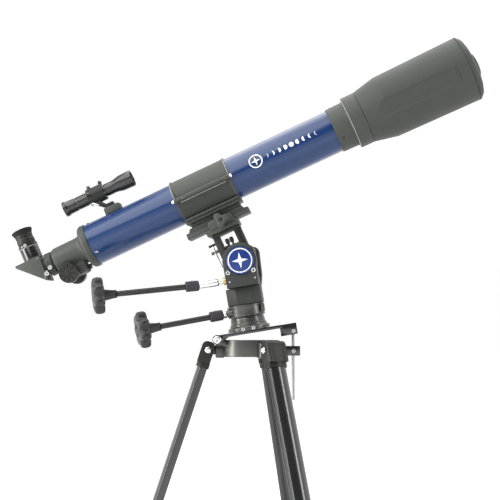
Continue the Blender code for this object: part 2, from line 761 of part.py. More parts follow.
def build_cradle(ota):
    rear, front = CRADLE
    knuckle_rear, knuckle_front = -0.045, 0.035
    tab_y, tab_x = 0.0490, -0.008

    lower = cradle_ring("cradle_lower", ota, "grey_plastic")
    carve(
        lower,
        block("lower_split", (-0.10, -0.08, -GAP / 2), (0.10, 0.08, 0.08), ota),
        hinge_barrel("lower_relief", 0.0050, knuckle_rear - GAP, knuckle_front + GAP, ota),
    )
    unite(
        lower,
        block("cradle_foot", (rear, -0.024, -0.0460), (front, 0.024, -0.0385), ota),
        block("cradle_neck", (rear + 0.006, -0.014, -0.0530), (front - 0.006, 0.014, -0.0450), ota),
        block("lower_tab", (tab_x - 0.008, 0.0400, -0.0085), (tab_x + 0.008, tab_y + 0.006, -GAP / 2), ota),
        hinge_barrel("lower_barrel_rear", 0.0046, rear, knuckle_rear - GAP, ota),
        hinge_barrel("lower_barrel_front", 0.0046, knuckle_front + GAP, front, ota),
    )
    carve(
        lower,
        rod("cradle_bore_room", CRADLE_BORE, (-0.10, 0, 0), (0.10, 0, 0), ota, sides=32),
        hinge_barrel("lower_pin_hole", 0.0021, -0.08, 0.08, ota),
        rod("lower_tab_hole", 0.0027, (tab_x, tab_y, -0.02), (tab_x, tab_y, 0.02), ota, sides=12),
    )

    opening = frame("cradle_open", ota, (0, HINGE_PIN_Y, 0))
    upper_frame = frame("cradle_upper_frame", opening, (0, -HINGE_PIN_Y, 0))
    upper = cradle_ring("cradle_upper", upper_frame, "grey_plastic")
    carve(
        upper,
        block("upper_split", (-0.10, -0.08, -0.08), (0.10, 0.08, GAP / 2), upper_frame),
        hinge_barrel("upper_relief_rear", 0.0050, rear - 0.01, knuckle_rear, upper_frame),
        hinge_barrel("upper_relief_front", 0.0050, knuckle_front, front + 0.01, upper_frame),
    )
    unite(
        upper,
        hinge_barrel("upper_barrel", 0.0046, knuckle_rear + GAP, knuckle_front - GAP, upper_frame),
        block("upper_tab", (tab_x - 0.008, 0.0400, GAP / 2), (tab_x + 0.008, tab_y + 0.006, 0.0085), upper_frame),
    )
    carve(
        upper,
        rod("upper_bore_room", CRADLE_BORE, (-0.10, 0, 0), (0.10, 0, 0), upper_frame, sides=32),
        hinge_barrel("upper_pin_hole", 0.0021, -0.08, 0.08, upper_frame),
        rod("upper_tab_hole", 0.0023, (tab_x, tab_y, -0.02), (tab_x, tab_y, 0.02), upper_frame, sides=12),
    )
    turned(
        "cradle_clamp_screw",
        [
            (0, 0.019),
            (0.0045, 0.019),
            (0.0053, 0.018),
            (0.0053, 0.0088),
            (0.0020, 0.0088),
            (0.0020, -0.0065),
            (0, -0.0065),
        ],
        upper_frame,
        "black_plastic",
        at=(tab_x, tab_y, 0),
        steps=16,
    )
    turned(
        "cradle_hinge_pin",
        [
            (0, front + 0.0055),
            (0.0025, front + 0.0050),
            (0.0037, front + 0.0030),
            (0.0037, front + GAP),
            (0.0018, front + GAP),
            (0.0018, rear - GAP),
            (0.0037, rear - GAP),
            (0.0037, rear - 0.0030),
            (0.0025, rear - 0.0050),
            (0, rear - 0.0055),
        ],
        ota,
        "chrome",
        along="X",
        at=(0, HINGE_PIN_Y, 0),
        steps=16,
    )


def build_rail(ota):
    rear, front = RAIL
    half = RAIL_HALF_WIDTH
    rail = block("dovetail_rail", (rear, -half, -0.0720), (front, half, -0.0600), ota, "grey_plastic", 0.0008)
    unite(rail, block("rail_shoulder", (rear + 0.006, -0.0135, -0.0610), (front - 0.006, 0.0135, -0.0533), ota))


def build_tube(ota):
    turned(
        "main_tube",
        [
            (TUBE_RADIUS, TUBE_FRONT),
            (TUBE_RADIUS, TUBE_REAR),
            (TUBE_RADIUS - TUBE_WALL, TUBE_REAR),
            (TUBE_RADIUS - TUBE_WALL, TUBE_FRONT),
        ],
        ota,
        "blue_enamel",
        along="X",
        ring=True,
        steps=32,
    )


def build_objective(ota):
    turned(
        "lens_cell",
        [
            (0.0495, 0.3200),
            (0.0495, 0.2950),
            (0.0485, 0.2930),
            (0.0430, 0.2925),
            (0.0430, 0.2603),
            (TUBE_RADIUS + GAP, 0.2603),
            (TUBE_RADIUS + GAP, TUBE_FRONT + GAP),
            (0.0350, TUBE_FRONT + GAP),
            (0.0350, 0.2970),
            (0.0374, 0.2970),
            (0.0374, 0.3200),
        ],
        ota,
        "grey_plastic",
        along="X",
        ring=True,
        steps=32,
    )
    radius, edge_rear, edge_front, sag = 0.0371, 0.2973, 0.3040, 0.0030
    face = [0.0, 0.35, 0.65, 0.85]
    front = [(radius * f, edge_front + sag * (1 - f * f)) for f in face]
    rear = [(0.0350 * f, edge_rear - sag * (1 - f * f)) for f in reversed(face)]
    turned(
        "objective_lens",
        [*front, (radius, edge_front), (radius, edge_rear), (0.0347, edge_rear), *rear],
        ota,
        "glass",
        along="X",
        steps=32,
    )


def build_shield(ota):
    turned(
        "dew_shield",
        [
            (0.0617, SHIELD_FRONT),
            (0.0588, SHIELD_SHOULDER),
            (0.0495, SHIELD_REAR),
            (0.0455, SHIELD_REAR),
            (0.0558, SHIELD_SHOULDER + 0.002),
            (0.0590, SHIELD_FRONT),
        ],
        ota,
        "grey_plastic",
        along="X",
        ring=True,
        steps=32,
    )


def build_cap(ota):
    pull = frame("cap_pull", ota)
    turned(
        "dust_cap",
        [
            (0, CAP_FRONT),
            (0.0440, CAP_FRONT - 0.0010),
            (0.0560, CAP_FRONT - 0.0060),
            (0.0612, CAP_FRONT - 0.0140),
            (0.0620, 0.5320),
            (0.0620, SHIELD_FRONT + GAP),
            (0.0585, SHIELD_FRONT + GAP),
            (0.0585, 0.5180),
            (0.0565, 0.5180),
            (0.0565, 0.5310),
            (0.0500, 0.5400),
            (0, 0.5450),
        ],
        pull,
        "grey_plastic",
        along="X",
        steps=32,
    )


# ---- focuser, diagonal and eyepiece --------------------------------------------------------
def build_focuser(ota):
    shell = turned(
        "focuser_housing",
        [
            (0.0384, -0.2320),
            (0.0384, TUBE_REAR - GAP),
            (0.0415, TUBE_REAR - GAP),
            (0.0418, -0.2480),
            (0.0400, -0.2540),
            (0.0300, -0.2580),
            (0.0262, -0.2620),
            (0.0256, -0.2650),
            (0.0248, -0.3140),
            (0.0225, FOCUSER_REAR),
            (0.0194, FOCUSER_REAR),
            (0.0194, -0.2600),
            (0.0300, -0.2550),
            (0.0340, -0.2500),
            (0.0340, -0.2320),
        ],
        ota,
        "grey_plastic",
        along="X",
        ring=True,
        steps=32,
    )
    x, z = PINION
    unite(shell, block("pinion_block", (-0.3165, -0.015, -0.0430), (-0.2660, 0.015, -0.0200), ota, chamfer=0.001))
    carve(
        shell,
        rod("drawtube_room", 0.0194, (-0.33, 0, 0), (-0.2600, 0, 0), ota, sides=32),
        block("rack_slot", (-0.33, -0.0043, -0.0274), (-0.2520, 0.0043, -0.0150), ota),
        rod("pinion_room", 0.0080, (x, -0.0060, z), (x, 0.0060, z), ota),
        rod("pinion_shaft_hole", 0.0033, (x, -0.03, z), (x, 0.03, z), ota, sides=16),
    )

    knobs = frame("focus_knob_turn", ota, (x, 0, z))
    one_side = [
        (0.0165, 0.0355),
        (0.0190, 0.0335),
        (0.0190, 0.0225),
        (0.0175, 0.0205),
        (0.0060, 0.0205),
        (0.0060, 0.0155),
        (0.0030, 0.0155),
        (0.0030, 0.0055),
        (0.0068, 0.0055),
    ]
    other_side = [(radius, -height) for radius, height in reversed(one_side)]
    turned("focus_knobs", [(0, 0.0355), *one_side, *other_side, (0, -0.0355)], knobs, "black_plastic", along="NEAR")

    lock = frame("focus_lock_turn", ota, (0, 0, z - 0.0015))
    turned(
        "focus_lock_screw",
        [
            (0, -0.2596),
            (0.0045, -0.2596),
            (0.0050, -0.2602),
            (0.0050, -0.2635),
            (0.0025, -0.2640),
            (0.0025, -0.2657),
            (0, -0.2657),
        ],
        lock,
        "black_plastic",
        along="X",
        steps=16,
    )


def build_drawtube(ota):
    slide = frame("focus_slide", ota)
    rear, front = DRAWTUBE
    tube = turned(
        "drawtube",
        [
            (DRAWTUBE_RADIUS, front),
            (DRAWTUBE_RADIUS, -0.3220),
            (0.0222, -0.3220),
            (0.0227, -0.3240),
            (0.0227, -0.3330),
            (0.0220, rear),
            (0.0170, rear),
            (0.0170, front),
        ],
        slide,
        "chrome",
        along="X",
        ring=True,
        steps=32,
    )
    unite(tube, block("rack", (-0.3180, -0.0038, -0.0265), (-0.2180, 0.0038, -0.0180), slide))
    carve(tube, rod("drawtube_bore", 0.0170, (-0.34, 0, 0), (-0.20, 0, 0), slide, sides=32))
    return slide


def build_diagonal(slide):
    """Star diagonal: right-angled body, nose in the drawtube, eyepiece holder on top."""
    turn = frame("diagonal_turn", slide)
    outline = [
        (-0.3920, 0.0195),
        (-0.3900, 0.0226),
        (-0.3410, 0.0226),
        (-0.3410, -0.0277),
        (-0.3448, -0.0277),
    ]
    body = plate("diagonal_housing", outline, -0.0190, 0.0190, turn, "grey_plastic", plane="XZ")
    unite(
        body,
        rod("diagonal_neck", 0.0163, (-0.3440, 0, 0), (-0.3354, 0, 0), turn, sides=24),
        rod("diagonal_nose", 0.0157, (-0.3380, 0, 0), (-0.3195, 0, 0), turn, sides=24),
        turned(
            "eyepiece_holder",
            [
                (0, 0.0535),
                (0.0180, 0.0535),
                (0.0190, 0.0525),
                (0.0190, 0.0480),
                (0.0183, 0.0470),
                (0.0183, 0.0200),
                (0, 0.0200),
            ],
            turn,
            at=(EYEPIECE_X, 0, 0),
            steps=20,
        ),
    )
    carve(
        body,
        rod("eyepiece_bore", 0.0161, (EYEPIECE_X, 0, 0.0240), (EYEPIECE_X, 0, 0.06), turn, sides=24),
        rod("light_bore_up", 0.0120, (EYEPIECE_X, 0, 0.0013), (EYEPIECE_X, 0, 0.03), turn),
        rod("light_bore_in", 0.0115, (-0.3571, 0, 0), (-0.30, 0, 0), turn),
    )

    pull = frame("eyepiece_pull", turn, (EYEPIECE_X, 0, 0))
    turned(
        "eyepiece",
        [
            (0, 0.0790),
            (0.0070, 0.0790),
            (0.0100, 0.0838),
            (0.0170, 0.0836),
            (0.0200, 0.0800),
            (0.0180, 0.0750),
            (0.0170, 0.0740),
            (0.0170, 0.0538),
            (0.0157, 0.0538),
            (0.0157, 0.0250),
            (0.0120, 0.0250),
            (0.0120, 0.0300),
            (0, 0.0300),
        ],
        pull,
        "black_plastic",
        steps=20,
    )


# ---- finder --------------------------------------------------------------------------------
def build_finder(ota):
    """Finder and its stand, placed from a point a little behind and above the tube's origin."""
    base = frame("finder_base", ota, FINDER_SHIFT)
    turned(
        "finder_scope",
        [
            (0, -0.1250),
            (0.0135, -0.1250),
            (0.0135, -0.1150),
            (0.0160, -0.1150),
            (0.0160, -0.1380),
            (0.0130, -0.1500),
            (0.0115, -0.1600),
            (0.0126, -0.1700),
            (0.0126, -0.2100),
            (0.0130, -0.2120),
            (0.0130, -0.2500),
            (0.0150, -0.2540),
            (0.0150, -0.2590),
            (0.0090, -0.2590),
            (0.0080, -0.2540),
            (0, -0.2540),
        ],
        base,
        "black_plastic",
        along="X",
        at=(0, 0, FINDER_HEIGHT),
        steps=20,
    )
    stand = turned(
        "finder_bracket",
        [(0.0165, -0.1740), (0.0165, -0.2080), (0.0132, -0.2080), (0.0132, -0.1740)],
        base,
        "black_plastic",
        along="X",
        at=(0, 0, FINDER_HEIGHT),
        ring=True,
        steps=20,
    )
    arm = [
        (-0.2060, 0.0700),
        (-0.1870, 0.0490),
        (-0.1670, 0.0490),
        (-0.1670, 0.0570),
        (-0.1800, 0.0570),
        (-0.1900, 0.0690),
    ]
    unite(
        stand,
        plate("finder_arm", arm, -0.0090, 0.0090, base, plane="XZ"),
        block("finder_foot", (-0.1890, -0.0120, 0.0365), (-0.1570, 0.0120, 0.0500), base, chamfer=0.0008),
    )
    carve(
        stand,
        rod("finder_room", 0.0132, (-0.22, 0, FINDER_HEIGHT), (-0.16, 0, FINDER_HEIGHT), base, sides=20),
        rod("tube_room", TUBE_RADIUS + GAP, (-0.24, 0, 0), (-0.12, 0, 0), ota, sides=64),
    )


# ---- assembly ------------------------------------------------------------------------------
def centre_on_footprint(root):
    """Moves the root so that the whole object's bounding box is centred on X = Y = 0."""
    bpy.context.view_layer.update()
    graph = bpy.context.evaluated_depsgraph_get()
    low, high = Vector((9, 9, 9)), Vector((-9, -9, -9))
    for obj in PARTS.objects:
        if obj.type != "MESH":
            continue
        solid = obj.evaluated_get(graph)
        for vertex in solid.data.vertices:
            point = solid.matrix_world @ vertex.co
            low = Vector(map(min, low, point))
            high = Vector(map(max, high, point))
    root.location = (-(low.x + high.x) / 2, -(low.y + high.y) / 2, 0)


def main():
    root = frame("telescope", None)
    head = frame("head_frame", root, (0, 0, RING_TOP))
    build_tripod_head(head)
    for i, azimuth in enumerate(LEG_AZIMUTHS, 1):
        build_leg(i, head, azimuth)
    build_tray(root)
    build_trunnion(head)

    hinge = frame("wedge_tilt", head, (HINGE_X, 0, 0), (0, -TILT, 0))
    wedge = frame("wedge_frame", hinge, PLATE_FROM_HINGE)
    build_wedge(wedge)
    build_azimuth_base(wedge)

    mount = frame("azimuth_turn", wedge, rotation=(0, 0, HEADING))
    build_azimuth_head(mount)
    build_azimuth_drive(mount)
    build_altitude_housing(mount)
    build_altitude_drive(mount)

    tilt = frame("altitude_turn", mount, (ALTITUDE_AXIS[0], 0, ALTITUDE_AXIS[1]), (0, -ALTITUDE, 0))
    build_altitude_yoke(tilt)
    build_saddle(tilt)

    ota = frame("rail_slide", tilt, (TUBE_OFFSET, 0, TUBE_AXIS_HEIGHT))
    build_rail(ota)
    build_cradle(ota)
    build_tube(ota)
    build_objective(ota)
    build_shield(ota)
    build_cap(ota)
    build_focuser(ota)
    build_diagonal(build_drawtube(ota))
    build_finder(ota)
    centre_on_footprint(root)


clear_scene()
PARTS = new_collection("telescope_on_tripod")
CUTTERS = new_collection("cutters")
main()
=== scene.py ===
"""Looks of the refracting telescope on its alt-azimuth mount and tripod."""

import json
import math

import bmesh
import bpy
from mathutils import Matrix, Vector


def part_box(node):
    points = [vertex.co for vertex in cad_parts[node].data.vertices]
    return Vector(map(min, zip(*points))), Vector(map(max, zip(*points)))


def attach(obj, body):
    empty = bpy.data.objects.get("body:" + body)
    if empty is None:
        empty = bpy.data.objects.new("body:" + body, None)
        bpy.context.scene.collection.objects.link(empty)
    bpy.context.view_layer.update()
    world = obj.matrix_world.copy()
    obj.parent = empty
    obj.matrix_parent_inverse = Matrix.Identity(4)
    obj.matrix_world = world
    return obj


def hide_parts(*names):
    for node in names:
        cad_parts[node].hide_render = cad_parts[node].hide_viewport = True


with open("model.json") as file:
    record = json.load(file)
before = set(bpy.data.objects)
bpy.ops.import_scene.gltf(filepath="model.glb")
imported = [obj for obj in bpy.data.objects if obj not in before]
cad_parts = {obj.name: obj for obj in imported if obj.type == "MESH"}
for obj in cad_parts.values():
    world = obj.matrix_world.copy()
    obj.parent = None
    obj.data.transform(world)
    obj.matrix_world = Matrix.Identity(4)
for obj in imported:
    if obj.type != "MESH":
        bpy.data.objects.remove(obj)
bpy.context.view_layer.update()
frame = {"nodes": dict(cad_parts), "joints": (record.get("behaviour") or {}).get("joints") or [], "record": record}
SCENE = bpy.context.scene
JOINTS = {joint["name"]: joint for joint in frame["joints"]}
TAU = 2 * math.pi

# Sizes and places in metres, the camera's tilt in degrees and its lens in millimetres. A pair is X and Z
# in the local frame of the head or the tube, or Y and Z for a worm.
TUBE_RADIUS = 0.04
KNOB_THICKNESS = 0.021
HUB = (0.009, 0.134)
AZIMUTH_WORM = (-0.0185, 0.042)
ALTITUDE_WORM = (-0.031, 0.102)
PINION = (-0.2986, -0.034)
EYEPIECE_AT = -0.357
FINDER_AT = (-0.005, 0.0835)
CAMERA_DISTANCE = 2.15
CAMERA_TILT = 94.45
CAMERA_LENS = 83.2
FLOOR_RADIUS, RIM_RADIUS, RIM_HEIGHT = 30, 36, 3


# ---- places: every local frame comes from the joints ----
def spot(joint):
    return Vector(JOINTS[joint]["pos_m"])


def way(joint, sign=1):
    return sign * Vector(JOINTS[joint]["axis"])


def place(origin, x, y):
    """A frame with its X and Y axes along x and y."""
    x, y = x.normalized(), y.normalized()
    z = x.cross(y)
    matrix = Matrix((x, y, z)).transposed().to_4x4()
    matrix.translation = origin
    return matrix


def outward(leg):
    """The direction from the tripod's axis to a leg, and its turn about Z."""
    spoke = (leg.translation - AXIS).normalized()
    return spoke, Matrix.Rotation(math.atan2(spoke.y, spoke.x), 4, "Z")


LEG_PLACES = []
for i in (1, 2, 3):
    up = way(f"leg_extend_{i}", -1)
    across = way(f"leg_fold_{i}")
    LEG_PLACES.append(place(spot(f"leg_fold_{i}"), across.cross(up), across))
AXIS = sum((leg.translation for leg in LEG_PLACES), Vector()) / 3
RING_TOP = AXIS.z + 0.0185
HEAD = Matrix.Translation((AXIS.x, AXIS.y, RING_TOP))
across = way("wedge_tilt", -1)
WEDGE = place(spot("azimuth_turn"), across.cross(way("azimuth_turn")), across)
across = way("altitude_turn", -1)
MOUNT = place(spot("azimuth_turn"), across.cross(way("azimuth_turn")), across)
TILT = place(spot("altitude_turn"), way("rail_slide"), across)
TUBE = place(spot("diagonal_turn"), way("rail_slide"), across)


# ---- camera ----
camera = bpy.data.objects.new("camera", bpy.data.cameras.new("camera"))
SCENE.collection.objects.link(camera)
camera.location = (AXIS.x, AXIS.y - CAMERA_DISTANCE, RING_TOP)
camera.rotation_euler = (math.radians(CAMERA_TILT), 0, 0)
camera.data.lens = CAMERA_LENS
camera.data.clip_end = 80
SCENE.camera = camera


# ---- materials ----
def fill(node, values):
    """Sets constant values on a node's input sockets."""
    for name, value in values.items():
        node.inputs[name].default_value = value
    return node


def fade(nodes, from_min, from_max, to_min, to_max):
    """A Map Range node between two spans."""
    span = {"From Min": from_min, "From Max": from_max, "To Min": to_min, "To Max": to_max}
    return fill(nodes.new("ShaderNodeMapRange"), span)


def look(
    name, colour, rough, metal=0.0, coat=0.0, specular=0.5, grain=0.0, bump=0.0, scale=900.0, stretch=(1, 1, 1),
    gloss=0.06,
):
    """A Principled material whose colour, roughness and surface vary with fine noise."""
    found = bpy.data.materials.new(name)
    found.use_nodes = True
    nodes, links = found.node_tree.nodes, found.node_tree.links
    shader = nodes["Principled BSDF"]
    fill(shader, {"Metallic": metal, "Coat Weight": coat, "Coat Roughness": gloss, "Specular IOR Level": specular})
    where = nodes.new("ShaderNodeTexCoord")
    turn = fill(nodes.new("ShaderNodeMapping"), {"Scale": stretch})
    links.new(where.outputs["Object"], turn.inputs["Vector"])
    wide = fill(nodes.new("ShaderNodeTexNoise"), {"Scale": scale / 40, "Detail": 3})
    fine = fill(nodes.new("ShaderNodeTexNoise"), {"Scale": scale, "Detail": 2})
    for noise in (wide, fine):
        links.new(turn.outputs["Vector"], noise.inputs["Vector"])
    tint = fade(nodes, 0, 1, 1 - grain, 1 + grain)
    links.new(wide.outputs["Fac"], tint.inputs["Value"])
    mix = nodes.new("ShaderNodeVectorMath")
    mix.operation = "SCALE"
    mix.inputs[0].default_value = colour
    links.new(tint.outputs["Result"], mix.inputs["Scale"])
    links.new(mix.outputs["Vector"], shader.inputs["Base Color"])
    worn = fade(nodes, 0, 1, rough * 0.85, min(1.0, rough * 1.2))
    links.new(wide.outputs["Fac"], worn.inputs["Value"])
    links.new(worn.outputs["Result"], shader.inputs["Roughness"])
    if bump:
        relief = fill(nodes.new("ShaderNodeBump"), {"Strength": bump, "Distance": 0.0004})
        links.new(fine.outputs["Fac"], relief.inputs["Height"])
        links.new(relief.outputs["Normal"], shader.inputs["Normal"])
    return found


GREY = look("grey", (0.052, 0.057, 0.049), 0.5, specular=0.35, grain=0.08, bump=0.18)
HOOD = look("hood", (0.047, 0.053, 0.045), 0.55, specular=0.35, grain=0.06, bump=0.3)
GREY_DARK = look("grey_dark", (0.032, 0.036, 0.031), 0.48, specular=0.35, grain=0.1, bump=0.15)
# Pale grey: a light ring on the lens cell and on the eyepiece holder, and painted highlights along the cradle's
# rims and seam.
PALE_GREY_AND_HIGHLIGHT = look("pale_grey_and_painted_highlight", (0.34, 0.36, 0.33), 0.35, grain=0.05)
BLUE = look("blue", (0.003, 0.028, 0.112), 0.3, coat=0.5, specular=0.3, grain=0.04, scale=400, gloss=0.16)
fill(BLUE.node_tree.nodes["Principled BSDF"], {"Coat IOR": 1.6})
BLACK = look("black", (0.014, 0.015, 0.013), 0.42, specular=0.35, grain=0.12, bump=0.12)
BLACK_GLOSS = look("black_gloss", (0.012, 0.012, 0.012), 0.2, coat=0.5, grain=0.05)
KNOB = look("knob", (0.026, 0.026, 0.026), 0.34, specular=0.45, grain=0.1, bump=0.2)
SLEEVE = look("sleeve", (0.036, 0.033, 0.042), 0.55, specular=0.4, grain=0.1, bump=0.2)
ENAMEL = look(
    "black_enamel", (0.016, 0.016, 0.017), 0.24, coat=0.9, grain=0.04, bump=0.02, scale=300, gloss=0.1
)
IRON = look("iron", (0.095, 0.096, 0.086), 0.32, metal=0.7, coat=0.2, grain=0.08, bump=0.05)
CHROME = look("chrome", (0.78, 0.78, 0.79), 0.1, metal=1.0, grain=0.02)
STEEL = look("steel", (0.48, 0.48, 0.47), 0.28, metal=1.0, grain=0.05, bump=0.06, stretch=(1, 1, 0.05))
ALLOY = look("alloy", (0.56, 0.56, 0.57), 0.34, metal=1.0, grain=0.04, bump=0.08, stretch=(1, 1, 0.04))
BRASS = look("brass", (0.62, 0.43, 0.17), 0.28, metal=1.0, grain=0.05)
RUBBER = look("rubber", (0.018, 0.018, 0.018), 0.8, specular=0.2, grain=0.15, bump=0.35)
WHITE = look("white", (0.8, 0.81, 0.82), 0.4, grain=0.01)
BADGE = look("badge", (0.008, 0.03, 0.17), 0.3, coat=0.4, specular=0.3, grain=0.03)
GLASS = look("glass", (0.75, 0.86, 0.8), 0.03)
fill(GLASS.node_tree.nodes["Principled BSDF"], {"Transmission Weight": 0.92, "IOR": 1.5})

SLOT_LOOKS = {
    "grey_plastic": GREY,
    "blue_enamel": BLUE,
    "black_plastic": BLACK,
    "black_enamel": ENAMEL,
    "dark_metal": IRON,
    "chrome": CHROME,
    "steel": STEEL,
    "brass": BRASS,
    "aluminium": ALLOY,
    "rubber": RUBBER,
    "glass": GLASS,
    "badge_blue": BADGE,
}
NODE_SLOT = {part["node"]: part["material_slot"] for part in frame["record"]["subparts"]}
for node, obj in frame["nodes"].items():
    obj.data.materials.clear()
    obj.data.materials.append(SLOT_LOOKS[NODE_SLOT[node]])


# ---- solids: each returns (vertices, faces) in local coordinates ----
def mm(*points):
    """Points given in millimetres."""
    return [tuple(value / 1000 for value in point) for point in points]


def soften(points, radius, closed):
    """Rounds the corners of a polyline with short arcs."""
    if not radius:
        return list(points)
    count = len(points)
    result = []
    for k, point in enumerate(points):
        if not closed and k in (0, count - 1):
            result.append(point)
            continue
        here = Vector(point)
        back = Vector(points[k - 1]) - here
        on = Vector(points[(k + 1) % count]) - here
        if back.length < 1e-7 or on.length < 1e-7 or back.angle(on) > math.radians(160):
            result.append(point)
            continue
        cut = min(radius, back.length * 0.4, on.length * 0.4)
        a, b = here + back.normalized() * cut, here + on.normalized() * cut
        for t in (0, 0.33, 0.67, 1):
            result.append(tuple(a * (1 - t) ** 2 + here * 2 * t * (1 - t) + b * t * t))
    return result


def lathe(profile, steps=64, closed=False, soft=0.0006, shape=None):
    """A turned solid about Z from (radius, height) pairs; shape(radius, height, angle) may carve it."""
    points = soften(profile, soft, closed)
    verts, rings = [], []
    for radius, height in points:
        if radius < 1e-6:
            rings.append([len(verts)] * steps)
            verts.append((0, 0, height))
            continue
        rings.append(range(len(verts), len(verts) + steps))
        for k in range(steps):
            angle = TAU * k / steps
            r = shape(radius, height, angle) if shape else radius
            verts.append((r * math.cos(angle), r * math.sin(angle), height))
    pairs = list(zip(rings, rings[1:]))
    if closed:
        pairs.append((rings[-1], rings[0]))
    faces = []
    for a, b in pairs:
        for k in range(steps):
            n = (k + 1) % steps
            quad = [a[k], a[n], b[n], b[k]]
            face = [v for j, v in enumerate(quad) if v != quad[j - 1]]
            if len(face) > 2:
                faces.append(face)
    return verts, faces


def lay(solid, along):
    """Lays a turned solid's axis along X, or towards -Y (NEAR)."""
    verts, faces = solid
    if along == "X":
        return [(z, x, y) for x, y, z in verts], faces
    if along == "NEAR":
        return [(x, -z, y) for x, y, z in verts], faces
    return verts, faces


def prism(outline, low, high, bevel=0.0006, plane="XY", segments=2):
    """An outline made solid between two levels, with rounded edges."""
    bm = bmesh.new()
    bottom = [bm.verts.new((x, y, low)) for x, y in outline]
    top = [bm.verts.new((x, y, high)) for x, y in outline]
    bm.faces.new(bottom)
    bm.faces.new(top)
    for k in range(len(outline)):
        n = (k + 1) % len(outline)
        bm.faces.new((bottom[k], bottom[n], top[n], top[k]))
    bmesh.ops.recalc_face_normals(bm, faces=bm.faces)
    if bevel:
        sharp = [e for e in bm.edges if e.calc_face_angle(0) > math.radians(25)]
        bmesh.ops.bevel(
            bm, geom=sharp, offset=bevel, segments=segments, profile=0.5, affect="EDGES", clamp_overlap=True
        )
    bm.verts.index_update()
    verts = [tuple(v.co) for v in bm.verts]
    faces = [[v.index for v in f.verts] for f in bm.faces]
    bm.free()
    if plane == "XZ":
        verts = [(x, z, y) for x, y, z in verts]
    if plane == "YZ":
        verts = [(z, x, y) for x, y, z in verts]
    return verts, faces


def box(low, high, bevel=0.0008):
    (x0, y0, z0), (x1, y1, z1) = low, high
    return prism([(x0, y0), (x1, y0), (x1, y1), (x0, y1)], z0, z1, bevel)


def rod(radius, start, end, soft=0.0004, steps=32):
    start, end = Vector(start), Vector(end)
    axis = end - start
    verts, faces = lathe([(0, axis.length), (radius, axis.length), (radius, 0), (0, 0)], steps, soft=soft)
    turn = Matrix.Translation(start) @ axis.to_track_quat("Z", "Y").to_matrix().to_4x4()
    return [tuple(turn @ Vector(v)) for v in verts], faces


def both_sides(finish, outline, inner, outer, bevel):
    """An outline in XZ made solid on either side of the middle plane, in one material."""
    return [(prism(outline, *sorted((inner * side, outer * side)), bevel, "XZ"), finish) for side in (-1, 1)]


def hoop(outer, inner, low, high, steps=96, soft=0.0003):
    """A turned ring of rectangular section."""
    return lathe([(outer, high), (outer, low), (inner, low), (inner, high)], steps, closed=True, soft=soft)


def plug(radius, low, high, steps=24):
    """A turned disc or stem."""
    return lathe([(0, high), (radius, high), (radius, low), (0, low)], steps)


def moved(solid, matrix):
    verts, faces = solid
    return [tuple(matrix @ Vector(v)) for v in verts], faces


def at(x, y, z):
    return Matrix.Translation((x, y, z))


def about(axis, degrees):
    return Matrix.Rotation(math.radians(degrees), 4, axis)


def arc(centre, radius, start, end, count):
    angles = [math.radians(start + (end - start) * k / (count - 1)) for k in range(count)]
    return [(centre[0] + radius * math.cos(a), centre[1] + radius * math.sin(a)) for a in angles]


def piece(name, where, body, solids, nodes=(), sharp=32):
    """One visual piece: (solid, material) pairs put at where, riding on a body."""
    mesh = bpy.data.meshes.new(name)
    verts, faces, marks = [], [], []
    used = []
    for (local, polygons), finish in solids:
        base = len(verts)
        verts += [tuple(where @ Vector(v)) for v in local]
        faces += [[base + k for k in polygon] for polygon in polygons]
        if finish not in used:
            used.append(finish)
        marks += [used.index(finish)] * len(polygons)
    mesh.from_pydata(verts, [], faces)
    for finish in used:
        mesh.materials.append(finish)
    mesh.polygons.foreach_set("material_index", marks)
    bm = bmesh.new()
    bm.from_mesh(mesh)
    bmesh.ops.recalc_face_normals(bm, faces=bm.faces)
    bm.to_mesh(mesh)
    bm.free()
    mesh.shade_smooth()
    mesh.set_sharp_from_angle(angle=math.radians(sharp))
    obj = bpy.data.objects.new(name, mesh)
    SCENE.collection.objects.link(obj)
    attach(obj, body)
    if nodes:
        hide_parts(*nodes)
    return obj


def ribs(count, depth, low, high):
    """A shape for lathe that cuts even flutes between two heights."""

    def shape(radius, height, angle):
        if low <= height <= high:
            return radius - depth * (0.5 - 0.5 * math.cos(count * angle)) ** 2
        return radius

    return shape


def cap_screw(radius, height, finish, socket=0.45):
    """A socket-head screw standing on Z = 0, with painted shade in the socket: a black disc sunk at its bottom."""
    bore = radius * socket
    body = lathe(
        [(0, height * 0.4), (bore, height * 0.4), (bore, height), (radius, height), (radius, 0), (0, 0)],
        24,
        soft=radius * 0.18,
    )
    # Painted shade: the socket's floor is a black disc.
    floor = lathe(
        [(0, height * 0.45), (bore * 0.96, height * 0.45), (bore * 0.96, height * 0.41), (0, height * 0.41)],
        6,
        soft=0,
    )
    return [(body, finish), (floor, BLACK)]


def placed(parts, matrix):
    return [(moved(solid, matrix), finish) for solid, finish in parts]


TO_VIEWER = about("X", 90)


def facing_screws(rows, finish=None):
    """Cap screws whose heads face the viewer, from (radius, height, socket, x, y, z) rows."""
    parts = []
    for radius, height, socket, *spot_of_head in rows:
        parts += placed(cap_screw(radius, height, finish or CHROME, socket), at(*spot_of_head) @ TO_VIEWER)
    return parts


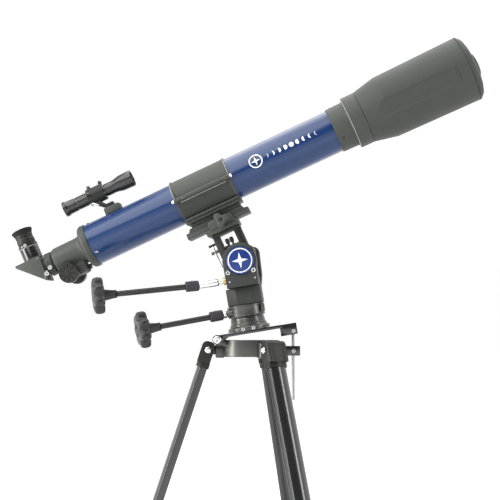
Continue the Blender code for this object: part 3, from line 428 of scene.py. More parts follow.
# ---- tripod ----
def build_tripod_head():
    ring = lathe(mm(
        (55, -0.8), (55, -30), (54.5, -31), (50, -31), (50, -6), (12, -6), (12, 0), (53.5, 0),
    ), 128, closed=True, soft=0.0012)
    parts = [(ring, IRON)]
    for leg in LEG_PLACES:
        tongue = [(0.062, -0.0268), (0.078, -0.0268), *arc((0.078, -0.0185), 0.0085, -90, 90, 12), (0.062, -0.0102)]
        lug = [(box(*mm((48, -18, -33), (64, 18, -5.2)), 0.002), ENAMEL)]
        lug.append((prism(tongue, -0.0092, 0.0092, 0.0006, "XZ"), ENAMEL))
        parts += placed(lug, outward(leg)[1])
    hinge = spot("wedge_tilt").x - AXIS.x
    ear = [(-0.043, -0.012), (-0.043, -0.001), *arc((hinge, 0), 0.0085, 60, 200, 12), (hinge - 0.002, -0.01)]
    parts += both_sides(ENAMEL, ear, 0.0245, 0.0325, 0.0007)
    for side in (-1, 1):
        low, high = sorted((0.0105 * side, 0.0145 * side))
        parts.append((box((0.048, low, -0.029), (0.0925, high, -0.011), 0.0012), ENAMEL))
    piece("ring", HEAD, "tripod", parts, ["tripod_head"])

    bolt = lathe(mm(
        (0, 45), (2.6, 45), (3, 46.5), (5, 46.5), (7, 45.2), (7, 42.4), (3.3, 42.4), (3.3, -42.4), (7, -42.4),
        (7, -45.2), (5, -46.5), (0, -46.5),
    ), 40)
    piece("hinge_bolt", HEAD @ at(hinge, 0, 0), "tripod", [(lay(bolt, "NEAR"), CHROME)], ["wedge_hinge_bolt"])


def leg_section(inset, count=15):
    """Cross-section of a leg, flat inside and crowned outside, drawn in by inset."""
    half = 0.017 - inset
    inner, pale_grey_and_painted_highlight, crown = -0.0095 + inset, 0.004 - inset / 2, 0.01 - inset
    rise = crown - pale_grey_and_painted_highlight
    bow = (half**2 + rise**2) / (2 * rise)
    reach = math.degrees(math.asin(half / bow))
    corners = [(inner, half), (inner, -half)]
    return corners + arc((crown - bow, 0), bow, -reach, reach, count)


def rounded(outline, radius):
    return [point[:2] for point in soften(outline, radius, True)]


def tube_walls(outer, inner, low, high):
    """An open section tube: outer and inner outlines with the same count of points."""
    count = len(outer)
    verts = []
    for outline, level in ((outer, low), (outer, high), (inner, high), (inner, low)):
        verts += [(x, y, level) for x, y in outline]
    faces = []
    for a, b in ((0, 1), (1, 2), (2, 3), (3, 0)):
        for k in range(count):
            n = (k + 1) % count
            faces.append([a * count + k, a * count + n, b * count + n, b * count + k])
    return verts, faces


def build_leg(i, leg):
    body = f"leg_{i}"
    bolt = lathe(mm(
        (0, 23.2), (2.2, 23.2), (2.6, 24.5), (4.2, 24.5), (6, 23.2), (6, 20.6), (3, 20.6), (3, -20.6),
        (6, -20.6), (6, -23.2), (4.2, -24.5), (0, -24.5),
    ), 32)
    piece(f"pivot_bolt_{i}", leg, body, [(lay(bolt, "NEAR"), CHROME)], [f"leg_bolt_{i}"])

    cheek = [(0.013, -0.025), *arc((0.003, 0.006), 0.01, 0, 90, 8)]
    cheek += [*arc((-0.001, 0.006), 0.01, 90, 180, 8), (-0.011, -0.025)]
    web = [(0.0096, -0.025), (0.013, -0.025), (0.013, 0.006), *arc((0.003, 0.006), 0.01, 0, 45, 5), (0.009, 0.008)]
    shell = rounded(leg_section(-0.0016), 0.004)
    parts = [
        *both_sides(BLACK, cheek, 0.0098, 0.02, 0.0016),
        (prism(web, -0.011, 0.011, 0.0004, "XZ"), BLACK),
        (prism([(x * 1.06, y * 1.04) for x, y in shell], -0.034, -0.0225, 0.0012), BLACK),
        (box(*mm((-10.5, -19, -24), (12.5, 19, -11)), 0.001), BLACK),
    ]
    piece(f"yoke_{i}", leg, body, parts, [f"leg_yoke_{i}"])

    outer, inner = rounded(leg_section(0), 0.0022), rounded(leg_section(0.0018), 0.001)
    x, z = -0.0145, -0.33
    ear = [(-0.0092, z - 0.008), (-0.0092, z + 0.008), (x, z + 0.005)]
    ear += [*arc((x, z), 0.005, 90, 270, 8), (x, z - 0.005)]
    sleeve = tube_walls(rounded(leg_section(-0.0007), 0.0025), rounded(leg_section(0.0002), 0.0025), -0.6, -0.568)
    parts = [
        (tube_walls(outer, inner, -0.6, -0.0245), ENAMEL),
        (prism(outer, -0.0255, -0.0247, 0), ENAMEL),
        *both_sides(BLACK, ear, 0.007, 0.01, 0.0004),
        (sleeve, BLACK),
    ]
    piece(f"upper_{i}", leg, body, parts, [f"upper_leg_{i}"])

    outer, inner = rounded(leg_section(0.0024), 0.0015), rounded(leg_section(0.0042), 0.0008)
    walls = tube_walls(outer, inner, -0.646, -0.15)
    piece(f"lower_{i}", leg, f"lower_leg_{i}", [(walls, ALLOY)], [f"lower_leg_{i}"])

    turn = leg @ at(0.01, 0, -0.584) @ about("Y", 90)
    lobes = ribs(5, 0.003, -1, 1)
    knob = lathe(mm((0, 17.2), (9.5, 17), (12.2, 15.8), (12.2, 7.5), (10, 6.2), (0, 6.2)), 60, shape=lobes)
    stem = plug(0.0045, 0.0003, 0.008)
    piece(f"lock_{i}", turn, f"leg_lock_{i}", [(knob, BLACK), (stem, CHROME)], [f"leg_lock_knob_{i}"])

    pivot = Matrix.Translation(spot(f"strap_fold_{i}")) @ outward(leg)[1]
    strip = mm((-124, -4.5), (-122, -6), (-6, -6), (-3, -6), (-3, 6), (-6, 6), (-122, 6), (-124, 4.5))
    parts = [
        (prism(strip, -0.0013, 0.0013, 0.0004), STEEL),
        (prism([(x, y * 0.35) for x, y in strip[1:7]], 0.0013, 0.0019, 0.0003), STEEL),
        (rod(0.004, (0, -0.006, 0), (0, 0.006, 0)), STEEL),
        (rod(0.0018, (0, -0.012, 0), (0, 0.012, 0)), CHROME),
    ]
    piece(f"strap_{i}", pivot, f"strap_{i}", parts, [f"spreader_strap_{i}"])


def build_tray():
    low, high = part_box("accessory_tray")
    centre = Matrix.Translation((AXIS.x, AXIS.y, low.z))
    outline = []
    for leg in LEG_PLACES:
        spoke = outward(leg)[0]
        degrees = math.degrees(math.atan2(spoke.y, spoke.x))
        outline.append((degrees, arc((0.034 * spoke.x, 0.034 * spoke.y), 0.026, degrees - 60, degrees + 60, 24)))
    outline.sort(key=lambda lobe: lobe[0])
    points = [point for lobe in outline for point in lobe[1]]
    rim = [(x * 0.93, y * 0.93) for x, y in points]
    dish = tube_walls(points, rim, 0.0003, 0.004)
    parts = [(dish, BLACK), (prism([(x * 0.95, y * 0.95) for x, y in points], 0.0001, 0.0022, 0), BLACK)]
    for leg in LEG_PLACES:
        cup = hoop(0.0172, 0.0158, 0.0018, 0.0039, 48)
        parts.append((moved(cup, Matrix.Translation(0.035 * outward(leg)[0])), BLACK))
    parts.append((plug(0.006, 0.001, 0.0039), BLACK))
    piece("tray", centre, "tray", parts, ["accessory_tray"])


# ---- wedge ----
def build_wedge():
    hx, hz = -0.0605, -0.002
    parts = [(box(*mm((-50, -42, 0.2), (60, 42, 6.3)), 0.0012), ENAMEL)]
    arm = [(-0.04, 0.0004), (-0.04, 0.006), (hx + 0.004, 0.006), *arc((hx, hz), 0.009, 65, 330, 22)]
    parts += both_sides(ENAMEL, arm, 0.0332, 0.0417, 0.0008)
    nose = mm((56, -14.8), (87.3, -14.8), (87.3, 6.3), (56, 6.3))
    parts += both_sides(ENAMEL, nose, 0.0045, 0.014, 0.001)
    parts.append((box(*mm((56, -6, -0.2), (87.3, 6, 6.3)), 0.0005), ENAMEL))
    parts.append((box(*mm((56, -6, -14.8), (68.2, 6, 6.3)), 0.0005), ENAMEL))
    piece("wedge", WEDGE, "wedge", parts, ["wedge_plate"])
    screw = cap_screw(0.0036, 0.0022, CHROME, 0.4)
    heads = []
    for x, y, z in ((0.08, -0.014, -0.008), (-0.011, -0.0374, 0.0095), (0.008, -0.0381, 0.0095)):
        heads += placed(screw, at(x, y, z) @ TO_VIEWER)
    for x in (-0.03, 0.03):
        heads += placed(screw, at(x, 0.0375, 0.0062))
    piece("wedge_screws", WEDGE, "wedge", heads)

    swing = Matrix.Translation(spot("rod_swing"))
    thread = mm((0, 0), (3, 0))
    level = -0.03
    while level > -0.126:
        thread += [(0.003, level), (0.00325, level - 0.0005), (0.003, level - 0.001)]
        level -= 0.0016
    thread += mm((2.6, -128), (0, -128))
    parts = [
        (lathe(thread, 20, soft=0), STEEL),
        (rod(0.005, (0, -0.004, 0), (0, 0.004, 0)), STEEL),
        (rod(0.002, (0, -0.011, 0), (0, 0.011, 0)), CHROME),
    ]
    piece("threaded_rod", swing, "tilt_rod", parts, ["tilt_rod"])

    cross = Matrix.Translation(spot("trunnion_turn"))
    piece(
        "cross_pin",
        cross,
        "trunnion",
        [
            (rod(0.0079, (0, -0.01, 0), (0, 0.01, 0), 0.0006, 40), IRON),
            (rod(0.004, (0, -0.015, 0), (0, 0.015, 0)), STEEL),
        ],
        ["tilt_trunnion"],
    )


# ---- azimuth ----
def build_base():
    skirt = lathe(mm(
        (0, 49.5), (6, 49.5), (6, 46.5), (12.5, 46.5), (12.5, 36.5), (9, 36.5), (9, 31.6), (30.5, 31.6),
        (31.2, 30), (32.2, 21.5), (32.5, 20), (34, 19), (34.5, 15), (36.8, 14.5), (39, 12), (39, 7), (0, 7),
    ), 128, soft=0.0008)
    piece("foot", WEDGE, "wedge", [(skirt, IRON)], ["azimuth_base"])


def build_mount():
    band = lathe(mm(
        (0, 54), (32.5, 54), (34.5, 52.8), (34.5, 50.2), (33.8, 49.8), (33.8, 34.5), (34.5, 34), (34.5, 32.6),
        (33.5, 32.2), (14, 32.2), (14, 50), (0, 50),
    ), 128, soft=0.0005)
    port = at(-0.0265, *AZIMUTH_WORM)
    collar = lathe(mm((7.8, 4), (7.8, -5.5), (7, -6.2), (4.2, -6.2), (4.2, 4)), 40, closed=True, soft=0.0003)
    parts = [(band, IRON), (moved(lay(collar, "X"), port), IRON)]
    parts += [(box(*mm((30, -22, 37), (36.2, -4, 52)), 0.001), IRON)]
    piece("band", MOUNT, "head", parts, ["azimuth_ring"])

    front = mm((-29.5, -20), (-10.5, -30), (19, -30), (34.5, -22))
    outline = front + mm((34.5, 18), (19, 26), (-13, 26), (-29.5, 18))
    piece("block", MOUNT, "head", [(prism(outline, 0.0543, 0.0859, 0.0011), GREY_DARK)], ["head_block"])

    base = 0.0864
    foot = [(-0.0235, base), (0.0345, base)]
    near = foot + mm((36.8, 146), (36.2, 153), (33.8, 157.5)) + arc(HUB, 0.0335, 46, 180, 30)
    far = foot + mm((38.5, 106), (40.5, 148), (39.5, 153), (36, 157.5)) + arc(HUB, 0.0335, 50, 180, 30)
    parts = [
        (prism(near, -0.0425, -0.0102, 0.0018, "XZ", 3), GREY_DARK),
        (prism(far, 0.0102, 0.0279, 0.0018, "XZ", 3), GREY_DARK),
        (prism(mm((-23.3, -41.5), (34.4, -41.5), (34.4, 27), (-23.3, 27)), base, 0.105, 0.0008), GREY_DARK),
    ]
    rim = lathe(
        mm((28.5, 43.6), (29.5, 42.5), (29.5, 40.5), (26.2, 40.5), (26.2, 43.6)), 96, closed=True, soft=0.0004
    )
    parts.append((moved(lay(rim, "NEAR"), at(HUB[0], 0, HUB[1])), GREY_DARK))
    bush = lathe(mm((6.8, -22.5), (6.8, -29), (6, -29.6), (4.7, -29.6), (4.7, -22.5)), 40, closed=True, soft=0.0004)
    parts.append((moved(lay(bush, "X"), at(0, *ALTITUDE_WORM)), BRASS))
    piece("housing", MOUNT, "head", parts, ["altitude_housing"])

    screws = facing_screws([
        (0.0044, 0.003, 0.45, -0.017, -0.0425, 0.1155),
        (0.0044, 0.003, 0.45, 0.03, -0.0425, 0.113),
        (0.0017, 0.0006, 0.4, -0.0165, -0.0425, 0.0985),
        (0.0017, 0.0006, 0.4, 0.0305, -0.0425, 0.099),
    ])
    screws += placed(cap_screw(0.006, 0.0022, CHROME), at(HUB[0], 0.0279, HUB[1]) @ about("X", -90))
    piece("housing_screws", MOUNT, "head", screws)

    hub = at(HUB[0], 0, HUB[1])
    dome = lathe(mm((0, 48.7), (20, 48.2), (24.2, 47.2), (25.8, 45.2), (26, 42.9), (0, 42.9)), 96, soft=0.0008)
    star = []
    for k in range(8):
        angle = TAU * k / 8 + TAU / 4
        radius = 0.015 if k % 2 == 0 else 0.0042
        star.append((radius * math.cos(angle), radius * math.sin(angle)))
    mark = moved(prism(star, 0.048, 0.04895, 0.0001), TO_VIEWER)
    circle = lathe(mm((22.6, 48.4), (22.6, 47), (20.6, 47), (20.6, 48.8)), 96, closed=True, soft=0.0001)
    parts = [(lay(dome, "NEAR"), BADGE), (mark, WHITE), (lay(circle, "NEAR"), WHITE)]
    piece("badge", MOUNT @ hub, "head", parts, ["altitude_badge"])


def build_worm(name, radius, stub, neck, thread, centre):
    """A worm on the turning head: its helical thread, its neck and its bright stub, all spans along X."""
    rear, front = thread
    profile = [(0, front + 0.007), (neck * 0.98, front + 0.007), (neck * 0.98, front + 0.002)]
    profile += [(radius - 0.0014, front), (radius - 0.0014, rear), (neck, rear - 0.002), (neck, stub[0])]
    profile += [(radius, stub[0] - 0.001), (radius, stub[1]), (0, stub[1])]
    turns, steps = 8, 24
    pitch = (front - rear) / turns
    root, crest = radius - 0.0016, radius - 0.0002
    verts, faces = [], []
    for k in range(turns * steps + 1):
        angle = TAU * k / steps
        for r, dx in ((root, -0.3), (crest, -0.12), (crest, 0.12), (root, 0.3)):
            verts.append((rear + pitch * (k / steps + dx), r * math.cos(angle), r * math.sin(angle)))
    for k in range(turns * steps):
        for j in range(4):
            n = (j + 1) % 4
            faces.append([4 * k + j, 4 * k + n, 4 * k + 4 + n, 4 * k + 4 + j])
    faces += [[0, 1, 2, 3], [4 * turns * steps + j for j in (3, 2, 1, 0)]]
    solids = [(lay(lathe(profile, 48, soft=0.0004), "X"), CHROME), ((verts, faces), STEEL)]
    piece(f"{name}_screw", MOUNT @ at(0, *centre), f"{name}_worm", solids, [f"{name}_worm"])


def build_controls():
    for name in ("azimuth", "altitude"):
        start = spot(f"{name}_control_turn")
        axis = way(f"{name}_control_turn", -1)
        side = axis.cross(Vector((0, 0, 1))).normalized()
        where = place(start, side, axis.cross(side))
        corners = [where.inverted() @ v.co for v in frame["nodes"][f"{name}_knob"].data.vertices]
        far = max(c.z for c in corners)
        near = min(c.z for c in corners)
        back = far - KNOB_THICKNESS
        sleeve = lathe(mm(
            (4, 1.5), (8, 1.5), (9.7, 3.5), (9.7, 25), (8.8, 26.2), (5.5, 26.6),
        ), 72, soft=0.0005, shape=ribs(24, 0.0005, 0.0045, 0.0235))
        shaft = lathe([(0, near - 0.0003), (0.0053, near - 0.0003), (0.0053, 0.001), (0, 0.001)], 32)
        grub = facing_screws([(0.0022, 0.001, 0.45, 0, -0.0096, 0.013)])
        piece(f"{name}_flex", where, f"{name}_control", [(sleeve, SLEEVE), (shaft, KNOB)] + grub, [f"{name}_shaft"])

        def lobes(radius, height, angle, rim=back):
            if height < rim - 0.001 and radius > 0.0085:
                return radius - 0.0036 * (0.5 + 0.5 * math.cos(4 * angle)) ** 0.5
            if radius < 0.015:
                return radius
            hollow = 0.5 - 0.5 * math.cos(7 * angle)
            return radius - 0.0078 * hollow**1.3 * (radius / 0.034)

        head = lathe([
            (0, far - 0.0028), (0.011, far - 0.0028), (0.013, far - 0.0006), (0.018, far), (0.026, far - 0.0004),
            (0.0315, far - 0.0024), (0.0338, far - 0.006), (0.0342, far - 0.011), (0.0336, back + 0.0045),
            (0.0318, back + 0.0014), (0.0285, back + 0.0002), (0.02, back + 0.0002), (0.018, back + 0.003),
            (0.0115, back + 0.003), (0.0108, back), (0.01, near + 0.001), (0.009, near), (0, near),
        ], 168, soft=0.0008, shape=lobes)
        piece(f"{name}_handle", where, f"{name}_control", [(head, KNOB)], [f"{name}_knob"], sharp=50)


def build_altitude_moving():
    wheel = lathe(mm(
        (0, 37.1), (9.5, 37.1), (10, 35.5), (19, 35), (20, 36.2), (22.8, 36.2), (23.2, 35.5),
        (23.2, 26.5), (22.5, 25.9), (6, 25.9), (6, -24.5), (0, -24.5),
    ), 192, soft=0.0004, shape=lambda r, h, a: r - (0.0008 * (0.5 - 0.5 * math.cos(48 * a)) if r > 0.0225 else 0))
    piece("worm_wheel", TILT, "altitude", [(lay(wheel, "NEAR"), BRASS)], ["altitude_wheel"])
    parts = [
        (lay(hoop(0.027, 0.0063, -0.0094, 0.0094, soft=0.0008), "NEAR"), GREY_DARK),
        (box(*mm((-33, -9.3, 4), (-20, 9.3, 63.8)), 0.001), GREY_DARK),
        (box(*mm((9, -9.3, 8), (23, 9.3, 63.8)), 0.001), GREY_DARK),
        (box(*mm((12.5, -9.5, 20), (19.5, -9, 56)), 0.0002), BLACK),
        (box(*mm((-33.3, -13, 60.8), (23.3, 13, 66)), 0.0008), GREY_DARK),
    ]
    piece("arms", TILT, "altitude", parts, ["altitude_yoke"])
    cap = mm((0, 53), (3, 52.5), (4, 50.5), (4, 44), (3, 43), (0, 43))
    cap = lathe(cap, 40, shape=ribs(12, 0.0004, 0.0441, 0.0504))
    nut = lay(lathe(mm((0, 4), (4.2, 4), (4.6, 3), (4.6, -3), (4.2, -4), (0, -4)), 30), "X")
    adjusters = []
    for x in (-0.0105, -0.002):
        adjusters.append((rod(0.0024, (x, -0.003, 0.02), (x, -0.003, 0.05)), BLACK_GLOSS))
        adjusters.append((moved(cap, at(x, -0.003, -0.001)), BLACK))
    adjusters += [
        (rod(0.0021, (-0.02, -0.003, 0.035), (0.009, -0.003, 0.035)), BLACK_GLOSS),
        (moved(nut, at(-0.015, -0.003, 0.035)), BLACK),
        (rod(0.0017, (-0.0393, -0.006, 0.005), (-0.0393, -0.006, 0.049)), CHROME),
        (rod(0.003, (-0.0393, -0.006, 0.033), (-0.0393, -0.006, 0.038)), STEEL),
        (rod(0.0024, (-0.0465, -0.006, 0.0505), (-0.0335, -0.006, 0.0505)), BLACK),
        (rod(0.003, (-0.047, -0.006, 0.0365), (-0.0325, -0.006, 0.0365)), IRON),
    ]
    piece("adjusters", TILT, "altitude", adjusters)

    parts = [(box(*mm((-39, -25.5, 66.3), (25, 25.5, 77)), 0.0014), GREY)]
    jaw = mm((-29, 71.8), (20, 71.8), (20, 87.8), (16, 92.2), (-25, 92.2), (-29, 87.8))
    parts += both_sides(GREY, jaw, 0.0185, 0.0255, 0.001)
    boss = lathe(mm((8.8, 26.2), (9.5, 25), (3.3, 25), (3.3, 26.2)), 40, closed=True, soft=0.0003)
    parts.append((moved(lay(boss, "NEAR"), at(-0.0015, 0, 0.0843)), GREY))
    piece("clamp_bed", TILT, "altitude", parts, ["saddle"])

    def trefoil(radius, height, angle):
        if radius < 0.0085:
            return radius
        hollow = 0.5 - 0.5 * math.cos(3 * angle)
        return radius - 0.0076 * hollow**1.2 * (radius / 0.0165)

    star = lathe(mm(
        (0, 39.2), (4, 39.2), (5, 40.2), (7, 40.2), (10, 39.8), (15, 38.6), (16.5, 36.5), (16.5, 33.5),
        (15, 31.2), (10, 30.2), (0, 30.2),
    ), 96, shape=trefoil)
    neck = lathe(mm((0, 31), (7.5, 31), (6.8, 26.5), (0, 26.5)), 40)
    stem = plug(0.003, 0.0184, 0.027)
    dot = plug(0.0033, 0.039, 0.0396)
    turn = Matrix.Translation(spot("saddle_knob_turn")) @ TILT.to_3x3().to_4x4()
    piece(
        "clamp_star",
        turn,
        "saddle_knob",
        [
            (lay(star, "NEAR"), GREY), (lay(neck, "NEAR"), GREY), (lay(stem, "NEAR"), CHROME),
            (lay(dot, "NEAR"), BLACK),
        ],
        ["saddle_knob"],
    )


# ---- tube ----
def build_tube():
    bore = TUBE_RADIUS - 0.0012
    wall = [(TUBE_RADIUS, 0.27), (TUBE_RADIUS, -0.241), (bore, -0.241), (bore, 0.27)]
    piece("barrel", TUBE, "tube", [(lay(lathe(wall, 160, closed=True, soft=0.0002), "X"), BLUE)], ["main_tube"])

    cell = lathe(mm(
        (49.5, 320), (49.5, 317.5), (49.2, 317), (49.5, 316.5), (49.5, 295.6), (48.5, 294.5), (44, 294.3),
        (43.6, 292.5), (43, 291.8), (42.4, 264), (41.8, 260.3), (40.3, 260.3), (40.3, 270.3), (35, 270.3),
        (35, 297), (37.4, 297), (37.4, 320),
    ), 144, closed=True, soft=0.0005)
    bead = hoop(0.0491, 0.043, 0.2934, 0.2944, 144)
    piece("cell", TUBE, "tube", [(lay(cell, "X"), GREY), (lay(bead, "X"), PALE_GREY_AND_HIGHLIGHT)], ["lens_cell"])

    lens = [(0.0371 * f, 0.304 + 0.003 * (1 - f * f)) for f in (0, 0.25, 0.5, 0.7, 0.85, 1)]
    lens += mm((37.1, 297.3), (34.7, 297.3)) + [
        (0.0347 * f, 0.2973 - 0.003 * (1 - f * f)) for f in (0.85, 0.7, 0.5, 0.25, 0)
    ]
    piece("objective", TUBE, "tube", [(lay(lathe(lens, 96, soft=0), "X"), GLASS)], ["objective_lens"])

    def wide(s):
        return 0.059 + 0.0027 * (s - 0.365) / 0.162

    half = math.radians(15)

    def channel(radius, height, angle):
        """Three flat-bottomed grips, cut like facets, that run out into the cone behind them."""
        if not 0.34 < height < 0.509 or radius < 0.053 or radius > 0.064:
            return radius
        offset = (angle - math.radians(190.6) + TAU / 6) % (TAU / 3) - TAU / 6
        if abs(offset) >= half:
            return radius
        bottom = (wide(height) - 0.0013) * math.cos(half) / math.cos(offset)
        side = min((half - abs(offset)) * 0.06 / 0.0011, 1)
        end = min((0.509 - height) / 0.0016, 1)
        return radius - side * end * max(0, radius - bottom)

    cone = [(0.0588 - 0.009 * k / 26, 0.364 - 0.041 * k / 26) for k in range(27)]
    outer = [(0.0617, 0.5268)] + [(wide(s), s) for s in (0.525 - 0.0016 * k for k in range(100))] + cone
    bore = mm((49.4, 320.6), (45.5, 320.7), (50, 340), (53.5, 365), (56, 510), (59, 515), (59, 526.8))
    shield = lathe(
        outer + bore, 288, closed=True, soft=0, shape=lambda r, h, a: channel(r, h, a) if (r, h) not in bore else r
    )
    piece("hood", TUBE, "tube", [(lay(shield, "X"), HOOD)], ["dew_shield"], sharp=9)

    cover = lathe(mm(
        (0, 548.8), (18, 548.8), (20.5, 548), (22.2, 546.2), (23.2, 544), (30, 543.2), (44, 541.2),
        (54, 537.8), (58, 534.5), (58.8, 531.8), (59.6, 531), (61.2, 531.4), (62, 530.5), (62, 527.6),
        (58.5, 527.4), (58.5, 518), (56.5, 518), (56.5, 530), (50, 539), (0, 541),
    ), 160, soft=0.0007)
    seam = hoop(0.0599, 0.0586, 0.5304, 0.5312, 160, 0.0001)
    piece("cover", TUBE, "cap", [(lay(cover, "X"), HOOD), (lay(seam, "X"), BLACK)], ["dust_cap"])


def strips(one_side, other_side, s, size):
    """A mark on the tube, filled in between two outlines: x along the tube from s, y around it."""
    radius, turn = TUBE_RADIUS + 0.00012, math.radians(172)
    verts = []
    for x, y in one_side + other_side:
        angle = turn - y * size / radius
        verts.append((s + x * size, radius * math.cos(angle), radius * math.sin(angle)))
    count = len(one_side)
    return verts, [[k, k + 1, count + k + 1, count + k] for k in range(count - 1)]


def build_marks():
    """A ring round a four-pointed star, and a row of moon phases, in place of the lettering."""
    middle, size = 0.106, 0.013
    circle = [(math.cos(TAU * k / 48), math.sin(TAU * k / 48)) for k in range(49)]
    parts = [(strips(circle, [(x * 0.84, y * 0.84) for x, y in circle], middle, size), WHITE)]
    reach, half, steps = 0.72, 0.13, 12
    spine = [
        (reach * k / steps, half * min(reach * k / steps / half, (1 - k / steps) / 0.82)) for k in range(steps + 1)
    ]
    for c, n in ((1, 0), (0, 1), (-1, 0), (0, -1)):
        edges = [[(x * c - y * side * n, x * n + y * side * c) for x, y in spine] for side in (1, -1)]
        parts.append((strips(*edges, middle, size), WHITE))
    turns = [math.radians(-90 + 10 * j) for j in range(19)]
    for k, phase in enumerate((-0.72, -0.3, 0.0, 0.45, 1.0, 0.45, 0.0, -0.3, -0.72)):
        flip = -1 if k > 4 else 1
        limb = [(flip * math.cos(a), math.sin(a)) for a in turns]
        dark = [(-flip * phase * math.cos(a), math.sin(a)) for a in turns]
        parts.append((strips(limb, dark, 0.127 + 0.0128 * k, 0.0046), WHITE))
    piece("marks", TUBE, "tube", parts)


def half_shell(start, end, radius, bore, rear, front, steps=48, rim=0.0014):
    """A half of a split ring between two angles, lying along X."""
    outline = [(radius, front), (radius, rear), (bore, rear), (bore, front)]
    if rim:
        low = radius - rim
        outline[1:1] = [
            (radius, front - 0.0042), (low, front - 0.005), (low, rear + 0.005), (radius, rear + 0.0042)
        ]
    outline = soften(outline, 0.0005 if rim else 0.0001, True)
    verts, faces = [], []
    for k in range(steps + 1):
        angle = math.radians(start + (end - start) * k / steps)
        verts += [(h, r * math.cos(angle), r * math.sin(angle)) for r, h in outline]
    count = len(outline)
    for k in range(steps):
        for j in range(count):
            n = (j + 1) % count
            faces.append([k * count + j, k * count + n, (k + 1) * count + n, (k + 1) * count + j])
    faces.append(list(range(count)))
    faces.append([steps * count + j for j in reversed(range(count))])
    return verts, faces


def build_cradle():
    rear, front = -0.061, 0.051
    pin = -0.0465
    tab_x, tab_y = -0.008, 0.049
    gap = 0.2
    lower = [
        (half_shell(180 + gap, 360 - gap, 0.0436, 0.0403, rear, front), GREY),
        (box((rear, -0.024, -0.046), (front, 0.024, -0.0405), 0.0012), GREY),
        (box((rear + 0.001, -0.0285, -0.0405), (front - 0.001, 0.0285, -0.036), 0.0016), GREY),
        (box((rear + 0.006, -0.014, -0.053), (front - 0.006, 0.014, -0.045), 0.0008), GREY_DARK),
        (box((tab_x - 0.008, 0.04, -0.0085), (tab_x + 0.008, tab_y + 0.006, -0.0002), 0.0012), GREY),
        (rod(0.0046, (rear, pin, 0), (-0.0453, pin, 0), 0.0006), GREY),
        (rod(0.0046, (0.0353, pin, 0), (front, pin, 0), 0.0006), GREY),
        (box((rear + 0.0048, -0.043, -0.0042), (-0.0453, -0.0405, 0.0000), 0.0004), GREY),
        # Painted light below the hinge: a black strip of painted shade under it, a pale strip of painted highlight,
        # then a darker grey panel of painted shade over the lower front of the bed.
        (half_shell(186.4, 188.4, 0.0434, 0.0415, rear + 0.01, front - 0.01, 4, 0), PALE_GREY_AND_HIGHLIGHT),
        (half_shell(184.0, 186.4, 0.0428, 0.0415, rear + 0.008, front - 0.008, 4, 0), BLACK),
        (half_shell(189.5, 236, 0.0429, 0.0415, rear + 0.0075, front - 0.0075, 16, 0), GREY_DARK),
    ]
    piece("cradle_bed", TUBE, "tube", lower, ["cradle_lower"])
    upper = [
        (half_shell(gap, 180 - gap, 0.0436, 0.0403, rear, front), GREY),
        # Painted highlights: thin pale strips along both rims of the lid.
        (half_shell(3, 177, 0.0438, 0.0425, rear + 0.0004, rear + 0.0014, 48, 0), PALE_GREY_AND_HIGHLIGHT),
        (half_shell(3, 177, 0.0438, 0.0425, front - 0.0014, front - 0.0004, 48, 0), PALE_GREY_AND_HIGHLIGHT),
        (rod(0.0046, (-0.0447, pin, 0), (0.0347, pin, 0), 0.0006), GREY),
        (box((tab_x - 0.008, 0.04, 0.0002), (tab_x + 0.008, tab_y + 0.006, 0.0085), 0.0012), GREY),
    ]
    piece("cradle_lid", TUBE, "cradle_top", upper, ["cradle_upper"])
    knurl = lathe(mm(
        (0, 19), (4.6, 19), (5.3, 18.2), (5.3, 8.8), (2, 8.8), (2, -6.5), (0, -6.5),
    ), 60, soft=0.0004, shape=ribs(20, 0.0004, 0.0095, 0.0178))
    piece("clamp_screw", TUBE @ at(tab_x, tab_y, 0), "cradle_clamp", [(knurl, BLACK)], ["cradle_clamp_screw"])
    wire = lathe([
        (0, front + 0.0055), (0.0026, front + 0.005), (0.0037, front + 0.003), (0.0037, front + 0.0003),
        (0.0018, front + 0.0003), (0.0018, rear - 0.0003), (0.0037, rear - 0.0003), (0.0037, rear - 0.003),
        (0.0026, rear - 0.005), (0, rear - 0.0055),
    ], 32)
    piece("cradle_pin", TUBE @ at(0, pin, 0), "tube", [(lay(wire, "X"), CHROME)], ["cradle_hinge_pin"])

    bar = mm((-18, -72), (18, -72), (18, -66.5), (14, -60), (-14, -60), (-18, -66.5))
    top = mm((-64, -60), (-60, -53.4), (45.5, -53.4), (50, -60))
    parts = [(prism(bar, -0.07, 0.056, 0.0008, "YZ"), GREY), (prism(top, -0.0135, 0.0135, 0.0006, "XZ"), GREY)]
    piece("dovetail", TUBE, "tube", parts, ["dovetail_rail"])


